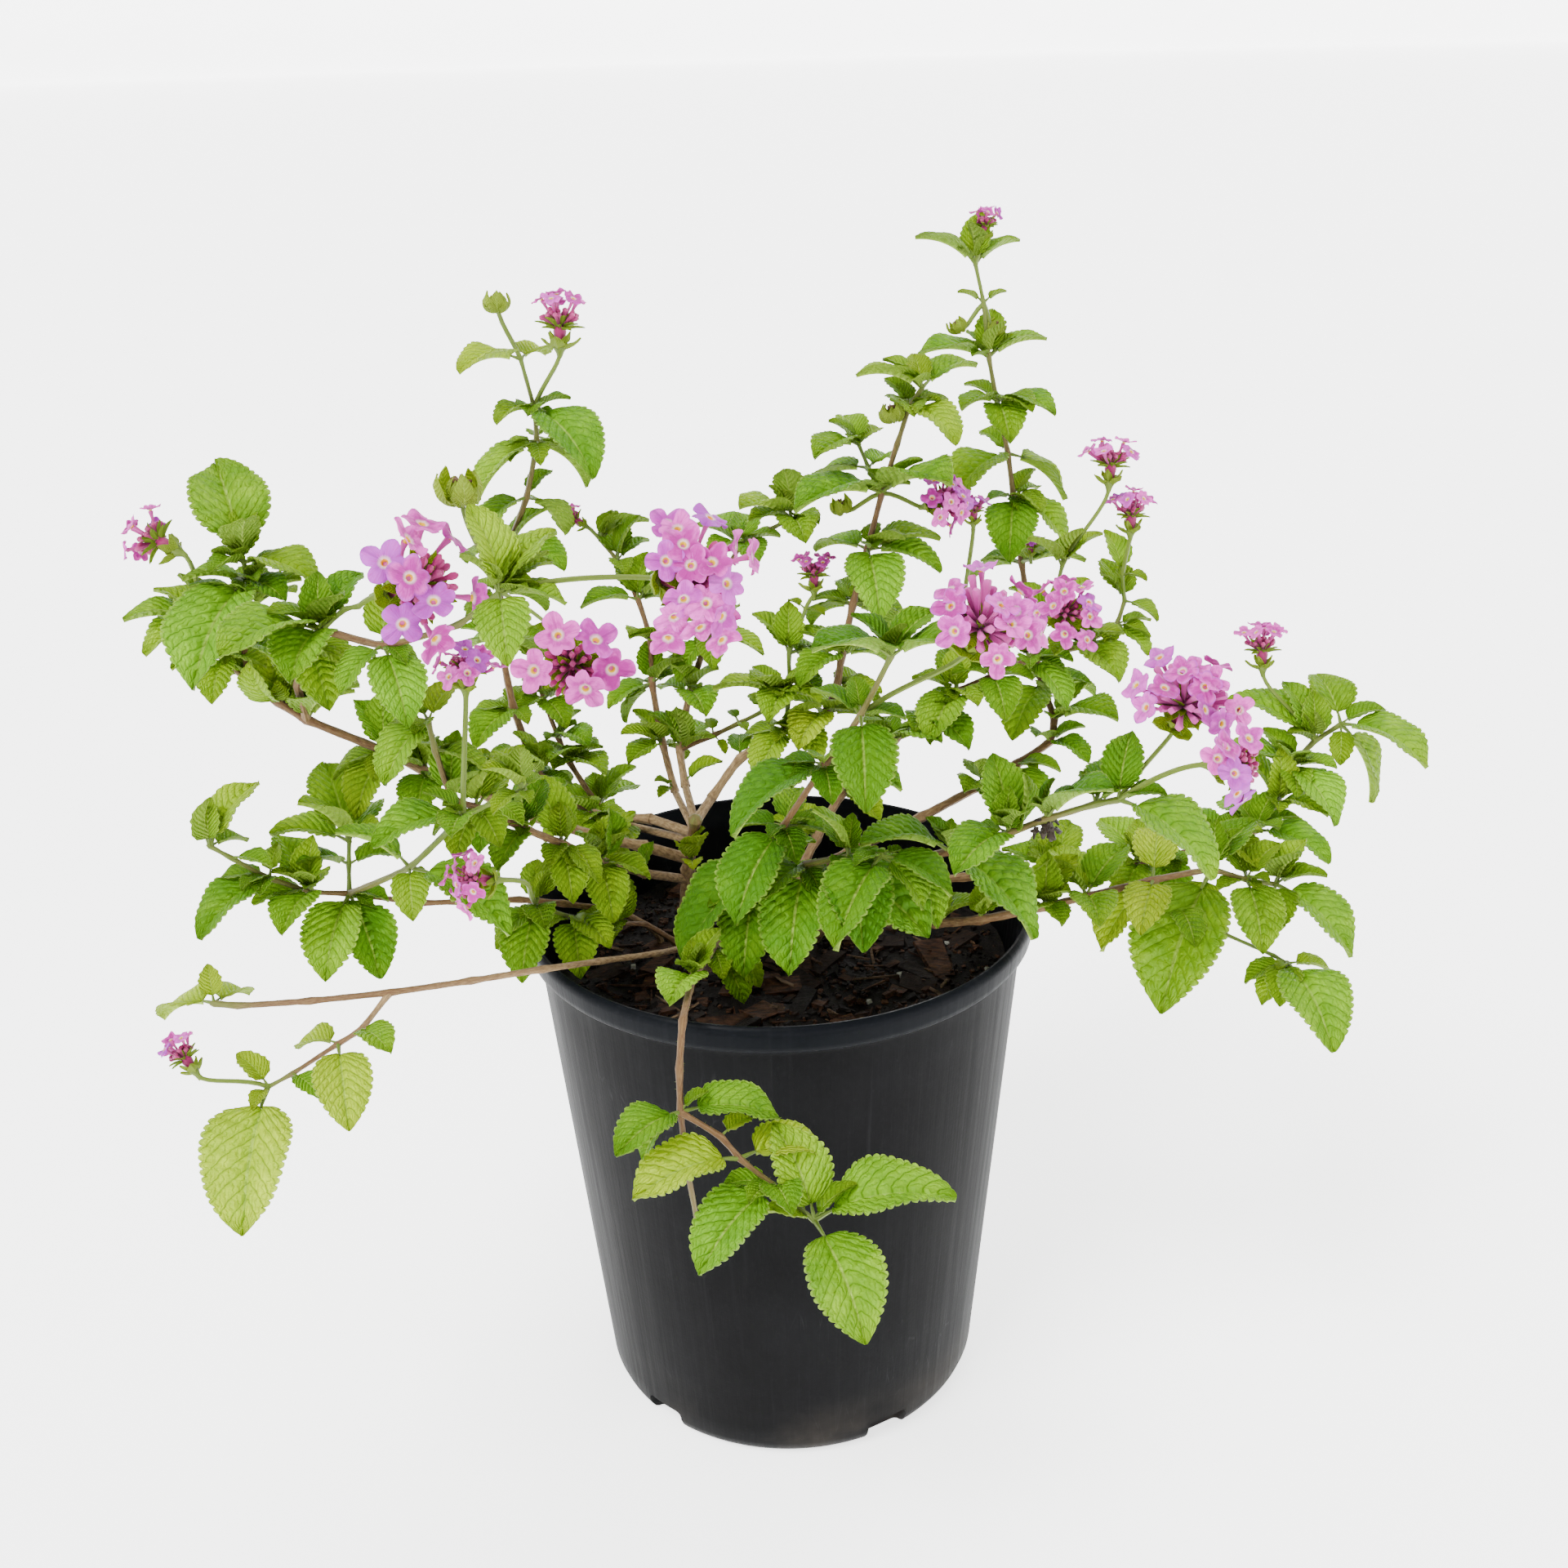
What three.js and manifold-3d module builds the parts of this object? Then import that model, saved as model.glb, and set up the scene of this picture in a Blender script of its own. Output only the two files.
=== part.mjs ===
// Trailing lantana in a round nursery pot. Millimetres, +Z up, origin at the centre of the pot's
// underside. The crown leans out of the soil a little left of the middle, and its stems spread over
// the rim; each leafy stem is one solid, each flower head another.
import * as THREE from "three";
import { mergeVertices } from "three/addons/utils/BufferGeometryUtils.js";
import Module from "manifold-3d";

// ---------------------------------------------------------------- driving dimensions
const POT_HEIGHT = 178;
const POT_LIP_RADIUS = 83.5;
const POT_TOP_RADIUS = 79.5;
const POT_FOOT_RADIUS = 64.6;
const POT_WALL = 1.6;
const POT_EDGE = 6;
const POT_LIP_HEIGHT = 9;
const POT_SIDES = 24;
const DRAINS = 5;
const DRAIN_WIDTH = 15;
const DRAIN_HEIGHT = 9;
const DRAIN_DEPTH = 12;
const DRAIN_START = 0.15;

const SOIL_TOP = 153;
const SOIL_GAP = 0.5;
const SOIL_RELIEF = 1.8;
const SOIL_FLOOR_RADIUS = 55.6;
const CHIPS = 5;
const HOLE_GAP = 0.45;

const LEAF_WIDTH = 0.38;
const LEAF_BELLY = 0.7;
const LEAF_ROUND = 0.65;
const LEAF_ARCH = 0.13;
const LEAF_FOLD = 18;
const LEAF_TOOTH = 0.06;
const LEAF_THICK = 1.2;
// The leaf stalk, as a share of the leaf and at least so long; its half width; how deep it is set.
const STALK_SHARE = 0.16;
const LEAST_STALK = 2.5;
const STALK_HALF = 0.75;
const STALK_SUNK = 0.6;
const LARGE_LEAF = 33;
const MIDDLE_LEAF = 25;
const LEAST_LEAF = 24;
const LEAST_TIP_LEAF = 18;
// Stems thicker than this at the foot are square, the others three-sided.
const FOUR_SIDED = 1.9;
const LEAST_STEM = 1.1;
const STEM_PAST_NODE = 1.2;
const HUB_GAP = 1.5;
const HUB_LEAF = 2;
// Where the rim and the midrib have their points, as fractions of the blade.
const LEAF_RINGS = {
  large: { rim: [0.07, 0.17, 0.34, 0.48, 0.66, 0.82], rib: [0.2, 0.45, 0.72] },
  middle: { rim: [0.12, 0.38, 0.7], rib: [0.42] },
  small: { rim: [0.36], rib: [0.4] },
};

// Flower heads: the cup of bracts under each, then the core and the florets above it. The shares
// are of the head's width.
const BRACTS = 4;
const CALYX_DEPTH = 4;
const CALYX_GAP = 0.6;
const CALYX_RIM = 0.8;
const CALYX_SHARE = 0.24;
const CORE_SHARE = 0.2;
const CORE_GAP = 0.1;
const FLORET_INSET = 1;
const LOBED_FACE = 4.5;
const FLORET_DISH = 0.25;
const FLORET_NECK = 0.62;
const NECK_SHARE = 0.12;
const LEAST_NECK = 0.3;
const LOBE_DROP = 0.35;
// How far a floret's face turns from straight outward towards the axis of its head.
const FACE_LEAN = 0.35;
const STALK_LIFT = 0.25;
const PEDUNCLE_FOOT = 0.9;
const PEDUNCLE_TIP = 0.75;
const LONG_PEDUNCLE = 25;

// Stems that leave the crown's hub; their first stretch belongs to the crown.
const HUB = ["tall_left", "back_left", "back_pale", "back_mid", "tall_mid", "left_far", "left_front"];

// Each shoot: name, the solid it belongs to, radius at its foot and tip, its leaf joints from the
// foot up, and its leaves as [joint, heading, rise, length]. Heading turns from +X towards +Y.
const SHOOTS = [
  ["trunk", "crown", 3.5, 3.1,
   [[-34, 33, 147], [-31, 26, 176], [-27, 15, 200]],
   []],
  ["tall_left", "stem_tall_left", 2.1, 0.8,
   [[-28, 19, 193], [-43, 36, 191], [-64, 48, 188], [-83, 55, 200], [-91, 62, 223], [-94, 66, 246],
    [-93, 68, 264], [-89, 68, 279], [-81, 68, 297], [-76, 68, 316], [-76, 68, 327], [-79, 68, 343]],
   [[2, -75, -20, 25], [2, 165, -10, 23], [3, -130, 35, 26], [3, 65, -30, 20], [4, -120, -15, 24],
    [4, 140, -25, 23], [5, 135, -20, 23], [5, 55, -30, 23], [6, 130, -45, 23], [6, 45, -30, 23],
    [7, -40, -5, 28], [7, 140, -20, 24], [8, -135, -25, 24], [8, 50, -45, 24], [8, 45, 30, 14],
    [9, -145, -35, 30], [9, 40, -45, 27], [10, -50, -30, 37], [10, -125, -5, 19], [11, -130, 0, 27],
    [11, 70, -5, 19]]],
  ["back_left", "stem_back_left", 1.7, 0.9,
   [[-29, 20, 190], [-51, 52, 181], [-64, 64, 184], [-74, 70, 199], [-78, 76, 206], [-83, 82, 219],
    [-86, 86, 231]],
   [[1, -105, -15, 26], [2, -140, -15, 25], [2, 60, -5, 24], [3, -100, 25, 25], [3, -50, 5, 23],
    [4, -55, 10, 23], [5, -60, -15, 20], [5, 155, -20, 20], [6, 105, 20, 23], [6, 50, 5, 23]]],
  ["back_pale", "stem_back_pale", 1.6, 0.8,
   [[-28, 17, 196], [-35, 45, 197], [-39, 55, 211], [-42, 62, 231], [-42, 68, 245], [-46, 74, 258],
    [-53, 82, 270], [-59, 88, 276]],
   [[1, -145, 30, 9], [1, -125, -5, 9], [2, -130, -5, 18], [2, -155, 25, 17], [2, 45, -40, 14],
    [3, 175, -55, 18], [3, 30, 5, 17], [4, -55, -5, 16], [4, -120, 20, 14], [5, -160, 0, 21],
    [5, 110, 20, 18], [5, 40, -15, 16], [6, 45, 15, 16], [6, -75, -5, 14], [7, 20, 15, 19]]],
  ["back_mid", "stem_back_mid", 1.7, 0.8,
   [[-27, 16, 198], [-31, 40, 201], [-33, 52, 210], [-29, 60, 228], [-22, 64, 247], [-16, 66, 267],
    [-9, 66, 279], [8, 64, 288]],
   [[1, 10, 25, 15], [2, 65, 5, 21], [2, -170, 55, 18], [2, -20, 25, 15], [3, -75, 0, 24],
    [3, 130, -10, 18], [4, -15, -15, 21], [4, -140, -45, 19], [5, 125, 5, 20], [6, 125, 10, 24],
    [6, -75, -5, 20], [7, -135, 20, 26], [7, -80, -5, 24]]],
  ["back_mid_twig", "stem_back_mid", 1.1, 0.7,
   [[-33, 52, 210], [-21, 52, 215], [-12, 50, 220], [-4, 50, 224], [2, 48, 231]],
   [[1, 100, 20, 9], [1, -45, -45, 8], [2, -70, 0, 8], [2, 115, 15, 8], [4, -170, 10, 23],
    [4, -45, 5, 20],
    [3, 115, 20, 10]]],
  ["tall_mid", "stem_tall_mid", 2.1, 0.8,
   [[-27, 15, 199], [-22, 32, 200], [-12, 42, 210], [4, 50, 217], [18, 52, 222], [22, 52, 231],
    [24, 52, 243], [28, 52, 261], [33, 52, 280], [38, 52, 299], [43, 52, 315], [47, 52, 327],
    [51, 52, 333]],
   [[2, 90, 15, 14], [3, -60, -10, 24], [3, -120, -30, 23], [4, -115, -10, 25], [4, 15, -20, 24],
    [5, 30, -30, 20], [6, -130, -10, 24], [6, 40, -20, 24], [7, 40, -40, 24], [7, 135, -30, 23],
    [8, -85, -30, 32], [8, 5, 5, 25], [8, -15, -15, 26], [8, 140, -10, 23], [9, -145, 0, 36],
    [9, -55, 15, 36],
    [11, -55, -20, 25], [11, 90, -15, 23], [12, -160, 15, 24], [12, 35, 10, 24], [12, 100, 40, 14]]],
  ["tall_mid_side", "stem_tall_mid", 0.9, 0.7,
   [[38, 52, 299], [34, 58, 306], [31, 62, 313]],
   [[1, 155, -20, 23], [1, 60, 0, 17], [2, -130, 0, 24], [2, 105, 20, 18], [2, 55, 10, 14]]],
  ["tall_mid_f13", "stem_tall_mid", 1.1, 0.7,
   [[4, 50, 217], [6, 52, 233], [6, 52, 244], [12, 54, 259]],
   [[1, -110, -15, 23], [1, -55, 10, 18], [2, 45, -15, 20], [2, 125, 35, 18], [3, -45, 0, 9],
    [3, 140, 15, 8]]],
  ["tallest", "stem_tallest", 2.3, 0.8,
   [[2, 33, 146], [3, 29, 160], [4, 29, 169], [25, 32, 178], [51, 46, 184], [73, 56, 191],
    [86, 62, 196], [99, 68, 202], [101, 72, 209], [97, 78, 221], [93, 84, 243], [90, 88, 263],
    [87, 92, 286], [85, 94, 301], [81, 96, 319], [78, 97, 334], [76, 98, 352], [73, 98, 365]],
   [[5, -60, 0, 20], [5, -70, -15, 20], [6, -60, -35, 20], [7, -55, -5, 20], [8, -50, 15, 30],
    [9, -120, -25, 30], [9, 20, -20, 24], [11, 145, -25, 23], [11, 0, 0, 23], [12, -100, -35, 30],
    [12, -25, -40, 26], [12, 40, 35, 14], [13, -135, -20, 33], [13, 5, -40, 30], [13, 125, 20, 23],
    [14, -85, -25, 24],
    [14, -40, -5, 24], [14, 145, 20, 14], [15, 5, 15, 27], [15, -175, 5, 25], [16, -180, 25, 10],
    [16, 10, 25, 9], [17, -175, 25, 23], [17, 10, 25, 18]]],
  ["right_back", "stem_right_back", 2.2, 0.8,
   [[-3, 24, 146], [0, 21, 160], [5, 17, 173], [13, 22, 188], [23, 32, 201], [41, 42, 215],
    [52, 46, 223], [63, 50, 229], [76, 54, 233], [89, 56, 238], [105, 58, 241], [119, 60, 248],
    [122, 62, 256]],
   [[3, 145, 20, 16], [4, -45, -20, 18], [5, -50, 15, 24], [5, 135, 0, 16], [6, -55, -15, 24],
    [7, -115, -20, 28], [7, 95, 30, 20], [8, -85, -20, 24], [8, 110, 10, 24], [9, -55, -35, 23],
    [9, 110, 15, 23], [10, -70, -5, 30], [10, 65, 40, 20], [11, -45, -30, 16], [12, 110, 30, 20],
    [12, -40, -20, 14]]],
  ["right_back_f9", "stem_right_back", 0.9, 0.7,
   [[89, 56, 238], [96, 60, 253], [100, 62, 269]],
   [[1, 15, 35, 18], [1, 140, 20, 18], [2, -160, 40, 18], [2, 15, 35, 18]]],
  ["right_back_up", "stem_right_back", 0.8, 0.6,
   [[122, 62, 256], [121, 63, 265]],
   [[1, 125, 55, 17], [1, -45, 0, 10]]],
  ["right_back_f12", "stem_right_back", 0.8, 0.6,
   [[63, 50, 229], [65, 54, 245], [66, 56, 260]],
   [[1, 130, 5, 16], [1, 35, 5, 16]]],
  ["front_mid", "stem_front_mid", 1.7, 1.0,
   [[-4, 14, 146], [-2, 12, 162], [1, 13, 176], [-2, -12, 197], [2, -40, 222], [14, -58, 249],
    [24, -66, 267], [32, -72, 286]],
   [[3, -145, -35, 43], [3, 35, 5, 18], [4, -125, -40, 34], [4, 10, -25, 24], [5, -150, -25, 34],
    [5, -25, -10, 24], [6, -90, -40, 30], [6, 155, 20, 16], [6, -30, 5, 14], [6, 100, 45, 12],
    [7, -150, 15, 26], [7, -30, 15, 24], [7, 30, 35, 18], [7, -50, 60, 12]]],
  ["front_low", "stem_front_low", 1.4, 1.0,
   [[-9, 7, 146], [-7, 6, 160], [-1, 5, 176], [-8, -18, 189], [0, -30, 197], [8, -42, 210],
    [21, -52, 217], [30, -58, 220]],
   [[3, -100, -40, 29], [3, -90, -50, 16], [4, -85, -15, 16], [5, -30, -20, 44], [5, -105, -50, 34],
    [6, -85, -30, 33], [6, 115, 25, 16], [7, -120, -30, 34], [7, -30, -20, 24], [7, -35, -45, 20],
    [7, -135, 5, 12], [7, 30, -5, 8]]],
  ["front_right", "stem_front_right", 1.7, 1.0,
   [[6, 4, 146], [5, 6, 160], [3, 4, 178], [17, -16, 193], [37, -34, 206], [51, -46, 215],
    [67, -56, 225], [77, -62, 232], [90, -66, 238], [96, -68, 240]],
   [[4, -55, -40, 24], [5, -45, -30, 37], [5, -160, 15, 30], [5, 80, 55, 10], [6, -130, -5, 28],
    [6, 105, 55, 24], [7, -45, 35, 27], [7, -140, 45, 10], [8, 60, 15, 20], [9, -45, -25, 35],
    [9, 65, 55, 20], [9, -25, 15, 14]]],
  ["right_low", "stem_right_low", 2.1, 0.9,
   [[10, 14, 146], [13, 13, 157], [28, -10, 173], [50, -20, 177], [63, -28, 182], [83, -30, 187],
    [96, -28, 189], [118, -22, 191], [138, -16, 191], [150, -14, 186], [160, -12, 183]],
   [[3, 20, 25, 16], [4, 30, 35, 21], [5, 30, 50, 19], [5, -80, 5, 16], [6, -90, 5, 24],
    [6, 110, 15, 24], [6, 40, 30, 23], [7, -150, -45, 28], [7, -110, -20, 24], [7, 75, 20, 24],
    [8, -125, -45, 50], [8, -125, -60, 28], [8, 35, 30, 23], [9, -90, -30, 28], [9, 80, -5, 23],
    [10, -45, -30, 33], [10, -105, -20, 23], [10, 30, 45, 18], [10, -25, 20, 17]]],
  ["right_low_twig", "stem_right_low", 0.9, 0.6,
   [[118, -22, 191], [126, -26, 183], [139, -28, 175], [156, -30, 167], [160, -32, 165]],
   [[1, -85, -15, 18], [4, -80, -20, 36], [4, -140, -40, 16], [4, -5, -10, 14]]],
  ["right_high", "stem_right_high", 1.9, 0.9,
   [[12, 28, 146], [15, 28, 158], [35, 14, 173], [61, 2, 182], [89, -6, 186], [118, -2, 187],
    [126, 2, 187], [147, 8, 188], [160, 14, 190], [168, 20, 197], [174, 26, 208], [182, 30, 215],
    [191, 32, 220]],
   [[4, 65, 25, 23], [4, 140, 10, 20], [5, 115, 15, 24], [5, -115, -10, 23], [6, -90, -25, 24],
    [7, -75, 5, 24], [7, 125, 10, 23], [8, -40, -10, 27], [8, 105, 5, 23], [9, 150, 45, 23],
    [9, -50, 5, 20], [10, -70, -25, 28], [10, -180, 10, 26], [11, 145, 15, 33], [11, 115, 40, 24],
    [12, -50, -10, 38], [12, -25, -65, 30], [12, 95, 20, 26], [12, 5, 15, 16], [12, -100, -60, 14]]],
  ["left_front", "stem_left_front", 1.9, 0.9,
   [[-32, 27, 172], [-44, 8, 184], [-57, -8, 197], [-67, -20, 209], [-76, -32, 220], [-88, -44, 233],
    [-94, -48, 238], [-97, -50, 254], [-98, -50, 263]],
   [[1, 50, 55, 11], [2, -75, -35, 23], [2, 45, 35, 20], [2, -135, 55, 16], [3, 130, 50, 24],
    [3, -75, -45, 20], [4, -110, -15, 20], [4, 70, 35, 18], [5, 40, 20, 20], [5, -110, -35, 18],
    [6, 40, 30, 18], [7, 50, -40, 16], [8, -120, -30, 24], [8, 120, 5, 18], [8, 60, 25, 16]]],
  ["left_far", "stem_left_far", 2.3, 1.1,
   [[-30, 24, 181], [-44, 16, 190], [-59, 12, 196], [-79, 6, 207], [-90, 2, 215], [-110, -4, 228],
    [-121, -8, 237], [-143, -12, 250], [-151, -12, 256], [-159, -12, 263], [-165, -12, 271],
    [-168, -12, 281]],
   [[3, 55, 20, 18], [4, -105, -35, 20], [4, 50, 45, 20], [5, 150, 45, 24], [5, -90, -20, 23],
    [6, -120, -45, 23], [6, 150, 55, 19], [7, -55, 30, 23], [7, 55, 10, 23], [8, 70, 30, 23],
    [8, 105, 80, 20], [9, 95, 25, 18], [9, 145, 5, 18], [10, -90, -25, 20], [10, -155, 30, 20],
    [11, 60, 20, 18], [11, -150, 15, 25], [11, -125, -5, 24]]],
  ["left_far_up", "stem_left_far", 1.0, 0.7,
   [[-159, -12, 263], [-158, -14, 275], [-154, -16, 287], [-153, -17, 296], [-153, -18, 302]],
   [[1, -40, -5, 23], [2, -100, -15, 24], [2, 60, 0, 20], [3, -40, -10, 18], [4, -25, -10, 27],
    [4, 115, 40, 37], [3, -105, -30, 42], [4, -110, 5, 16]]],
  ["left_mid", "stem_left_far", 1.5, 1.0,
   [[-143, -12, 250], [-142, -20, 264], [-135, -30, 280], [-128, -38, 287], [-108, -50, 286],
    [-84, -64, 296], [-71, -72, 307]],
   [[2, -65, -30, 26], [3, -125, 5, 36], [3, -95, -10, 30], [3, 60, 30, 23], [3, -40, 45, 18],
    [3, 90, 70, 17], [4, -65, -45, 26], [4, 75, 60, 18], [6, -80, -35, 24], [6, 150, 70, 24],
    [6, 45, 30, 24], [6, -5, -10, 18], [6, 40, 15, 18], [6, -145, 50, 16]]],
  ["left_f1", "stem_left_far", 0.9, 0.8,
   [[-128, -38, 287], [-119, -44, 295], [-114, -48, 297]],
   []],
  ["left_low", "stem_left_low", 1.5, 0.8,
   [[-40, 19, 146], [-42, 15, 158], [-53, 6, 171], [-70, -8, 182], [-83, -14, 187], [-101, -20, 190],
    [-112, -24, 192], [-132, -32, 200], [-142, -36, 203], [-153, -40, 210], [-162, -44, 219],
    [-167, -46, 224]],
   [[5, 80, 15, 14], [6, 95, 50, 12], [7, -100, -35, 30], [7, -55, -55, 28], [7, -50, -65, 16],
    [8, -100, -5, 24], [8, 130, 30, 24], [9, -130, -20, 28], [9, 80, 40, 12], [10, -20, -5, 14],
    [11, 50, 35, 24], [11, 55, -15, 14]]],
  ["left_low_tuft", "stem_left_low", 0.9, 0.7,
   [[-132, -32, 200], [-132, -28, 208], [-132, -24, 214]],
   [[1, -140, 20, 18], [1, 35, -5, 16], [2, 115, 35, 30], [2, 80, 5, 24], [2, -135, 50, 24],
    [2, -175, 10, 24], [2, -30, 30, 16]]],
  ["left_low_up", "stem_left_low", 1.2, 0.8,
   [[-132, -32, 200], [-108, -52, 218], [-88, -66, 240], [-78, -72, 247], [-69, -76, 252]],
   [[1, -20, -30, 36], [1, -170, 35, 24], [1, -80, -35, 18], [2, -150, -5, 27], [3, -40, -20, 12],
    [4, -140, 40, 16], [4, -130, -15, 12], [4, 65, 0, 10], [4, -70, -5, 8]]],
  ["left_rim", "stem_left_rim", 1.4, 0.7,
   [[-31, 12, 146], [-36, 10, 157], [-45, 6, 166], [-54, -6, 173], [-66, -18, 182], [-76, -26, 191]],
   [[3, -160, 70, 24], [3, -125, -10, 16], [4, -80, -30, 23], [5, -100, -40, 26], [5, 55, 30, 18],
    [5, -110, -5, 10]]],
  ["left_long", "stem_left_long", 1.3, 1.1,
   [[-25, 13, 146], [-28, 8, 156], [-40, -18, 168], [-56, -38, 177], [-71, -58, 186],
    [-92, -60, 184], [-116, -62, 182], [-140, -62, 180], [-162, -60, 178], [-169, -60, 179]],
   [[9, 155, -25, 24], [9, 70, -20, 18], [9, 110, 60, 12]]],
  ["left_long_drop", "stem_left_long", 1.1, 0.7,
   [[-116, -62, 182], [-125, -66, 172], [-132, -67, 168], [-146, -70, 160], [-153, -72, 157]],
   [[1, -50, 0, 18], [2, -75, -35, 28], [3, -40, -15, 14], [2, 150, -20, 18], [4, -95, -40, 44],
    [4, 150, 35, 14], [4, -105, -10, 10]]],
  ["front_hang", "stem_front_hang", 1.7, 0.9,
   [[-13, -4, 146], [-13, -4, 162], [-13, -6, 178], [-21, -30, 176], [-26, -62, 184],
    [-28, -92, 187], [-29, -102, 178], [-29, -107, 167], [-28, -108, 149], [-26, -107, 129]],
   [[3, -50, -45, 20], [4, -105, 10, 24], [4, 50, 40, 17], [7, 5, -10, 28], [7, -135, -5, 24],
    [7, -165, -50, 18], [7, 10, 35, 10]]],
  ["front_hang_side", "stem_front_hang", 1.1, 0.9,
   [[-29, -107, 167], [-18, -112, 162], [-13, -114, 156], [-4, -117, 149], [7, -120, 139]],
   [[1, 45, 0, 12], [2, -155, -5, 32], [2, 25, -15, 28], [3, -135, -25, 32], [4, -5, 12, 40],
    [4, -65, -35, 36], [4, 125, 50, 29], [4, 10, 40, 16], [4, -175, 15, 16]]],
];

// Each flower head: name, the shoot and joint it grows from, the foot of its cup, heading and rise of
// its axis, its width, the radius of a floret, and its rings of florets as [count, tilt, turn].
const HEADS = [
  ["bloom_left_upper", "left_f1", 2, [-102, -58, 304], -35, 15, 42, 5.8,
   [[1, 55, 65], [1, 65, 40], [1, 45, 20], [1, 30, -20], [1, 65, -25], [1, 55, -65], [1, 70, 100],
    [1, 70, 145], [1, 70, -155]]],
  ["bloom_left_lower", "left_low_up", 2, [-86, -52, 274], 0, 85, 21, 4.0,
   [[1, 80, -60], [1, 70, -100], [1, 20, -95], [1, 50, -130], [1, 20, 50], [1, 75, 10], [1, 75, 60],
    [1, 75, 120], [1, 75, 170]]],
  ["bloom_centre_left", "left_mid", 6, [-28, -67, 308], -35, 5, 42, 5.8,
   [[1, 65, 55], [1, 70, 35], [1, 50, 30], [1, 35, 50], [1, 20, 20], [1, 90, 70], [1, 75, 70],
    [1, 55, -5], [1, 40, -10], [1, 70, -20], [1, 85, -40], [1, 55, -40], [1, 35, -45], [1, 55, -90],
    [1, 75, 115], [1, 75, 165], [1, 80, -130], [1, 45, 160]]],
  ["bloom_facing", "tall_left", 6, [-62, 16, 256], -95, 12, 41, 6.2,
   [[1, 45, 80], [1, 55, 135], [1, 30, 5], [1, 55, 180], [1, 30, -140]]],
  ["bloom_centre_right", "front_mid", 6, [53, -74, 289], -60, 55, 37, 5.2,
   [[1, 55, 15], [1, 50, 45], [1, 60, -15], [1, 15, -60], [1, 35, -80], [1, 50, -105], [1, 70, -70],
    [1, 25, -100], [1, 60, 105], [1, 65, 160], [1, 65, -145]]],
  ["bloom_right_back", "right_back", 9, [98, 44, 255], -90, 50, 28, 5.0,
   [[1, 70, 45], [1, 35, -25], [1, 15, 50], [1, 65, -15], [1, 35, 140], [1, 35, -165], [1, 50, -135],
    [1, 95, -125], [1, 70, 90], [1, 70, -80]]],
  ["bloom_right_front", "front_right", 9, [112, -64, 261], -80, 60, 36, 5.1,
   [[1, 70, 20], [1, 70, -15], [1, 35, -10], [1, 15, 15], [1, 5, 65], [1, 20, -95], [1, 20, -140],
    [1, 45, -90], [1, 60, -110], [1, 65, -150], [1, 85, -150], [1, 70, 75], [1, 65, 140]]],
  ["bloom_right_low", "front_right", 9, [117, -87, 258], -30, 10, 26, 5.0,
   [[1, 95, 30], [1, 70, 10], [1, 85, 45], [1, 55, 75], [1, 70, -30], [1, 75, -80]]],
  ["bloom_far_right", "right_high", 11, [166, 43, 238], 100, 75, 23, 3.6, [[1, 5, 0], [6, 38, 0]]],
  ["bloom_high_right", "right_back_f9", 2, [115, 63, 298], 70, 75, 24, 4.0, [[2, 22, 0], [5, 58, 10]]],
  ["bloom_high_right_low", "right_back_up", 1, [123, 63, 281], 80, 80, 22, 3.4,
   [[1, 0, 0], [6, 46, 0]]],
  ["bloom_back_centre", "tall_mid", 9, [53, 46, 296], -30, 20, 22, 4.0,
   [[1, 0, 0], [5, 38, 0], [7, 78, 20]]],
  ["bloom_back_small", "right_back_f12", 2, [69, 58, 287], 80, 80, 15, 2.6, [[5, 42, 0]]],
  ["bloom_centre_small", "tall_mid_f13", 3, [15, 53, 267], 90, 85, 20, 2.8, [[6, 42, 0]]],
  ["bloom_tallest_side", "tallest", 11, [92, 80, 269], 90, 80, 10, 2.0, [[4, 45, 0]]],
  ["bloom_top_right", "tallest", 17, [76, 98, 374], 60, 80, 16, 2.7, [[1, 0, 0], [4, 38, 0]]],
  ["bloom_top_left", "tall_left", 10, [-66, 69, 347], 70, 80, 27, 3.8, [[1, 8, 0], [5, 34, 0]]],
  ["bud_top_left", "tall_left", 11, [-85, 68, 360], 90, 80, 8, 0, []],
  ["bloom_back_left", "back_pale", 7, [-65, 91, 281], 175, 35, 14, 2.6, [[4, 45, 0]]],
  ["bloom_far_left", "left_far", 11, [-174, -13, 305], 165, 25, 25, 3.4, [[1, 0, 0], [5, 48, 0]]],
  ["bloom_hanging_left", "left_rim", 5, [-81, -70, 222], -150, 15, 22, 3.8, [[2, 25, 0], [6, 62, 0]]],
  ["bloom_low_left", "left_long_drop", 4, [-173, -75, 166], 150, 50, 18, 2.8, [[1, 0, 0], [4, 36, 0]]],
  ["seed_head", "left_mid", 6, [-84, -40, 325], 0, 90, 12, 0, []],
  ["bud_a", "tallest", 16, [68, 98, 344], 180, 60, 6, 0, []],
  ["bud_b", "tallest", 16, [80, 98, 343], 0, 60, 6, 0, []],
  ["bud_c", "tall_mid", 11, [42, 52, 324], 120, 70, 8, 0, []],
  ["bud_d", "tall_mid_side", 0, [25, 56, 293], 180, 70, 7, 0, []],
];

// ---------------------------------------------------------------- solids
const wasm = await Module();
wasm.setup();

const V = (x, y, z) => new THREE.Vector3(x, y, z);
const rad = (degrees) => THREE.MathUtils.degToRad(degrees);
const mix = (a, b, t) => a + (b - a) * t;

function solid(points, faces) {
  const vertProperties = new Float32Array(points.flatMap((p) => [p.x, p.y, p.z]));
  const triVerts = new Uint32Array(faces.flat());
  return new wasm.Manifold(new wasm.Mesh({ numProp: 3, vertProperties, triVerts }));
}

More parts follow.
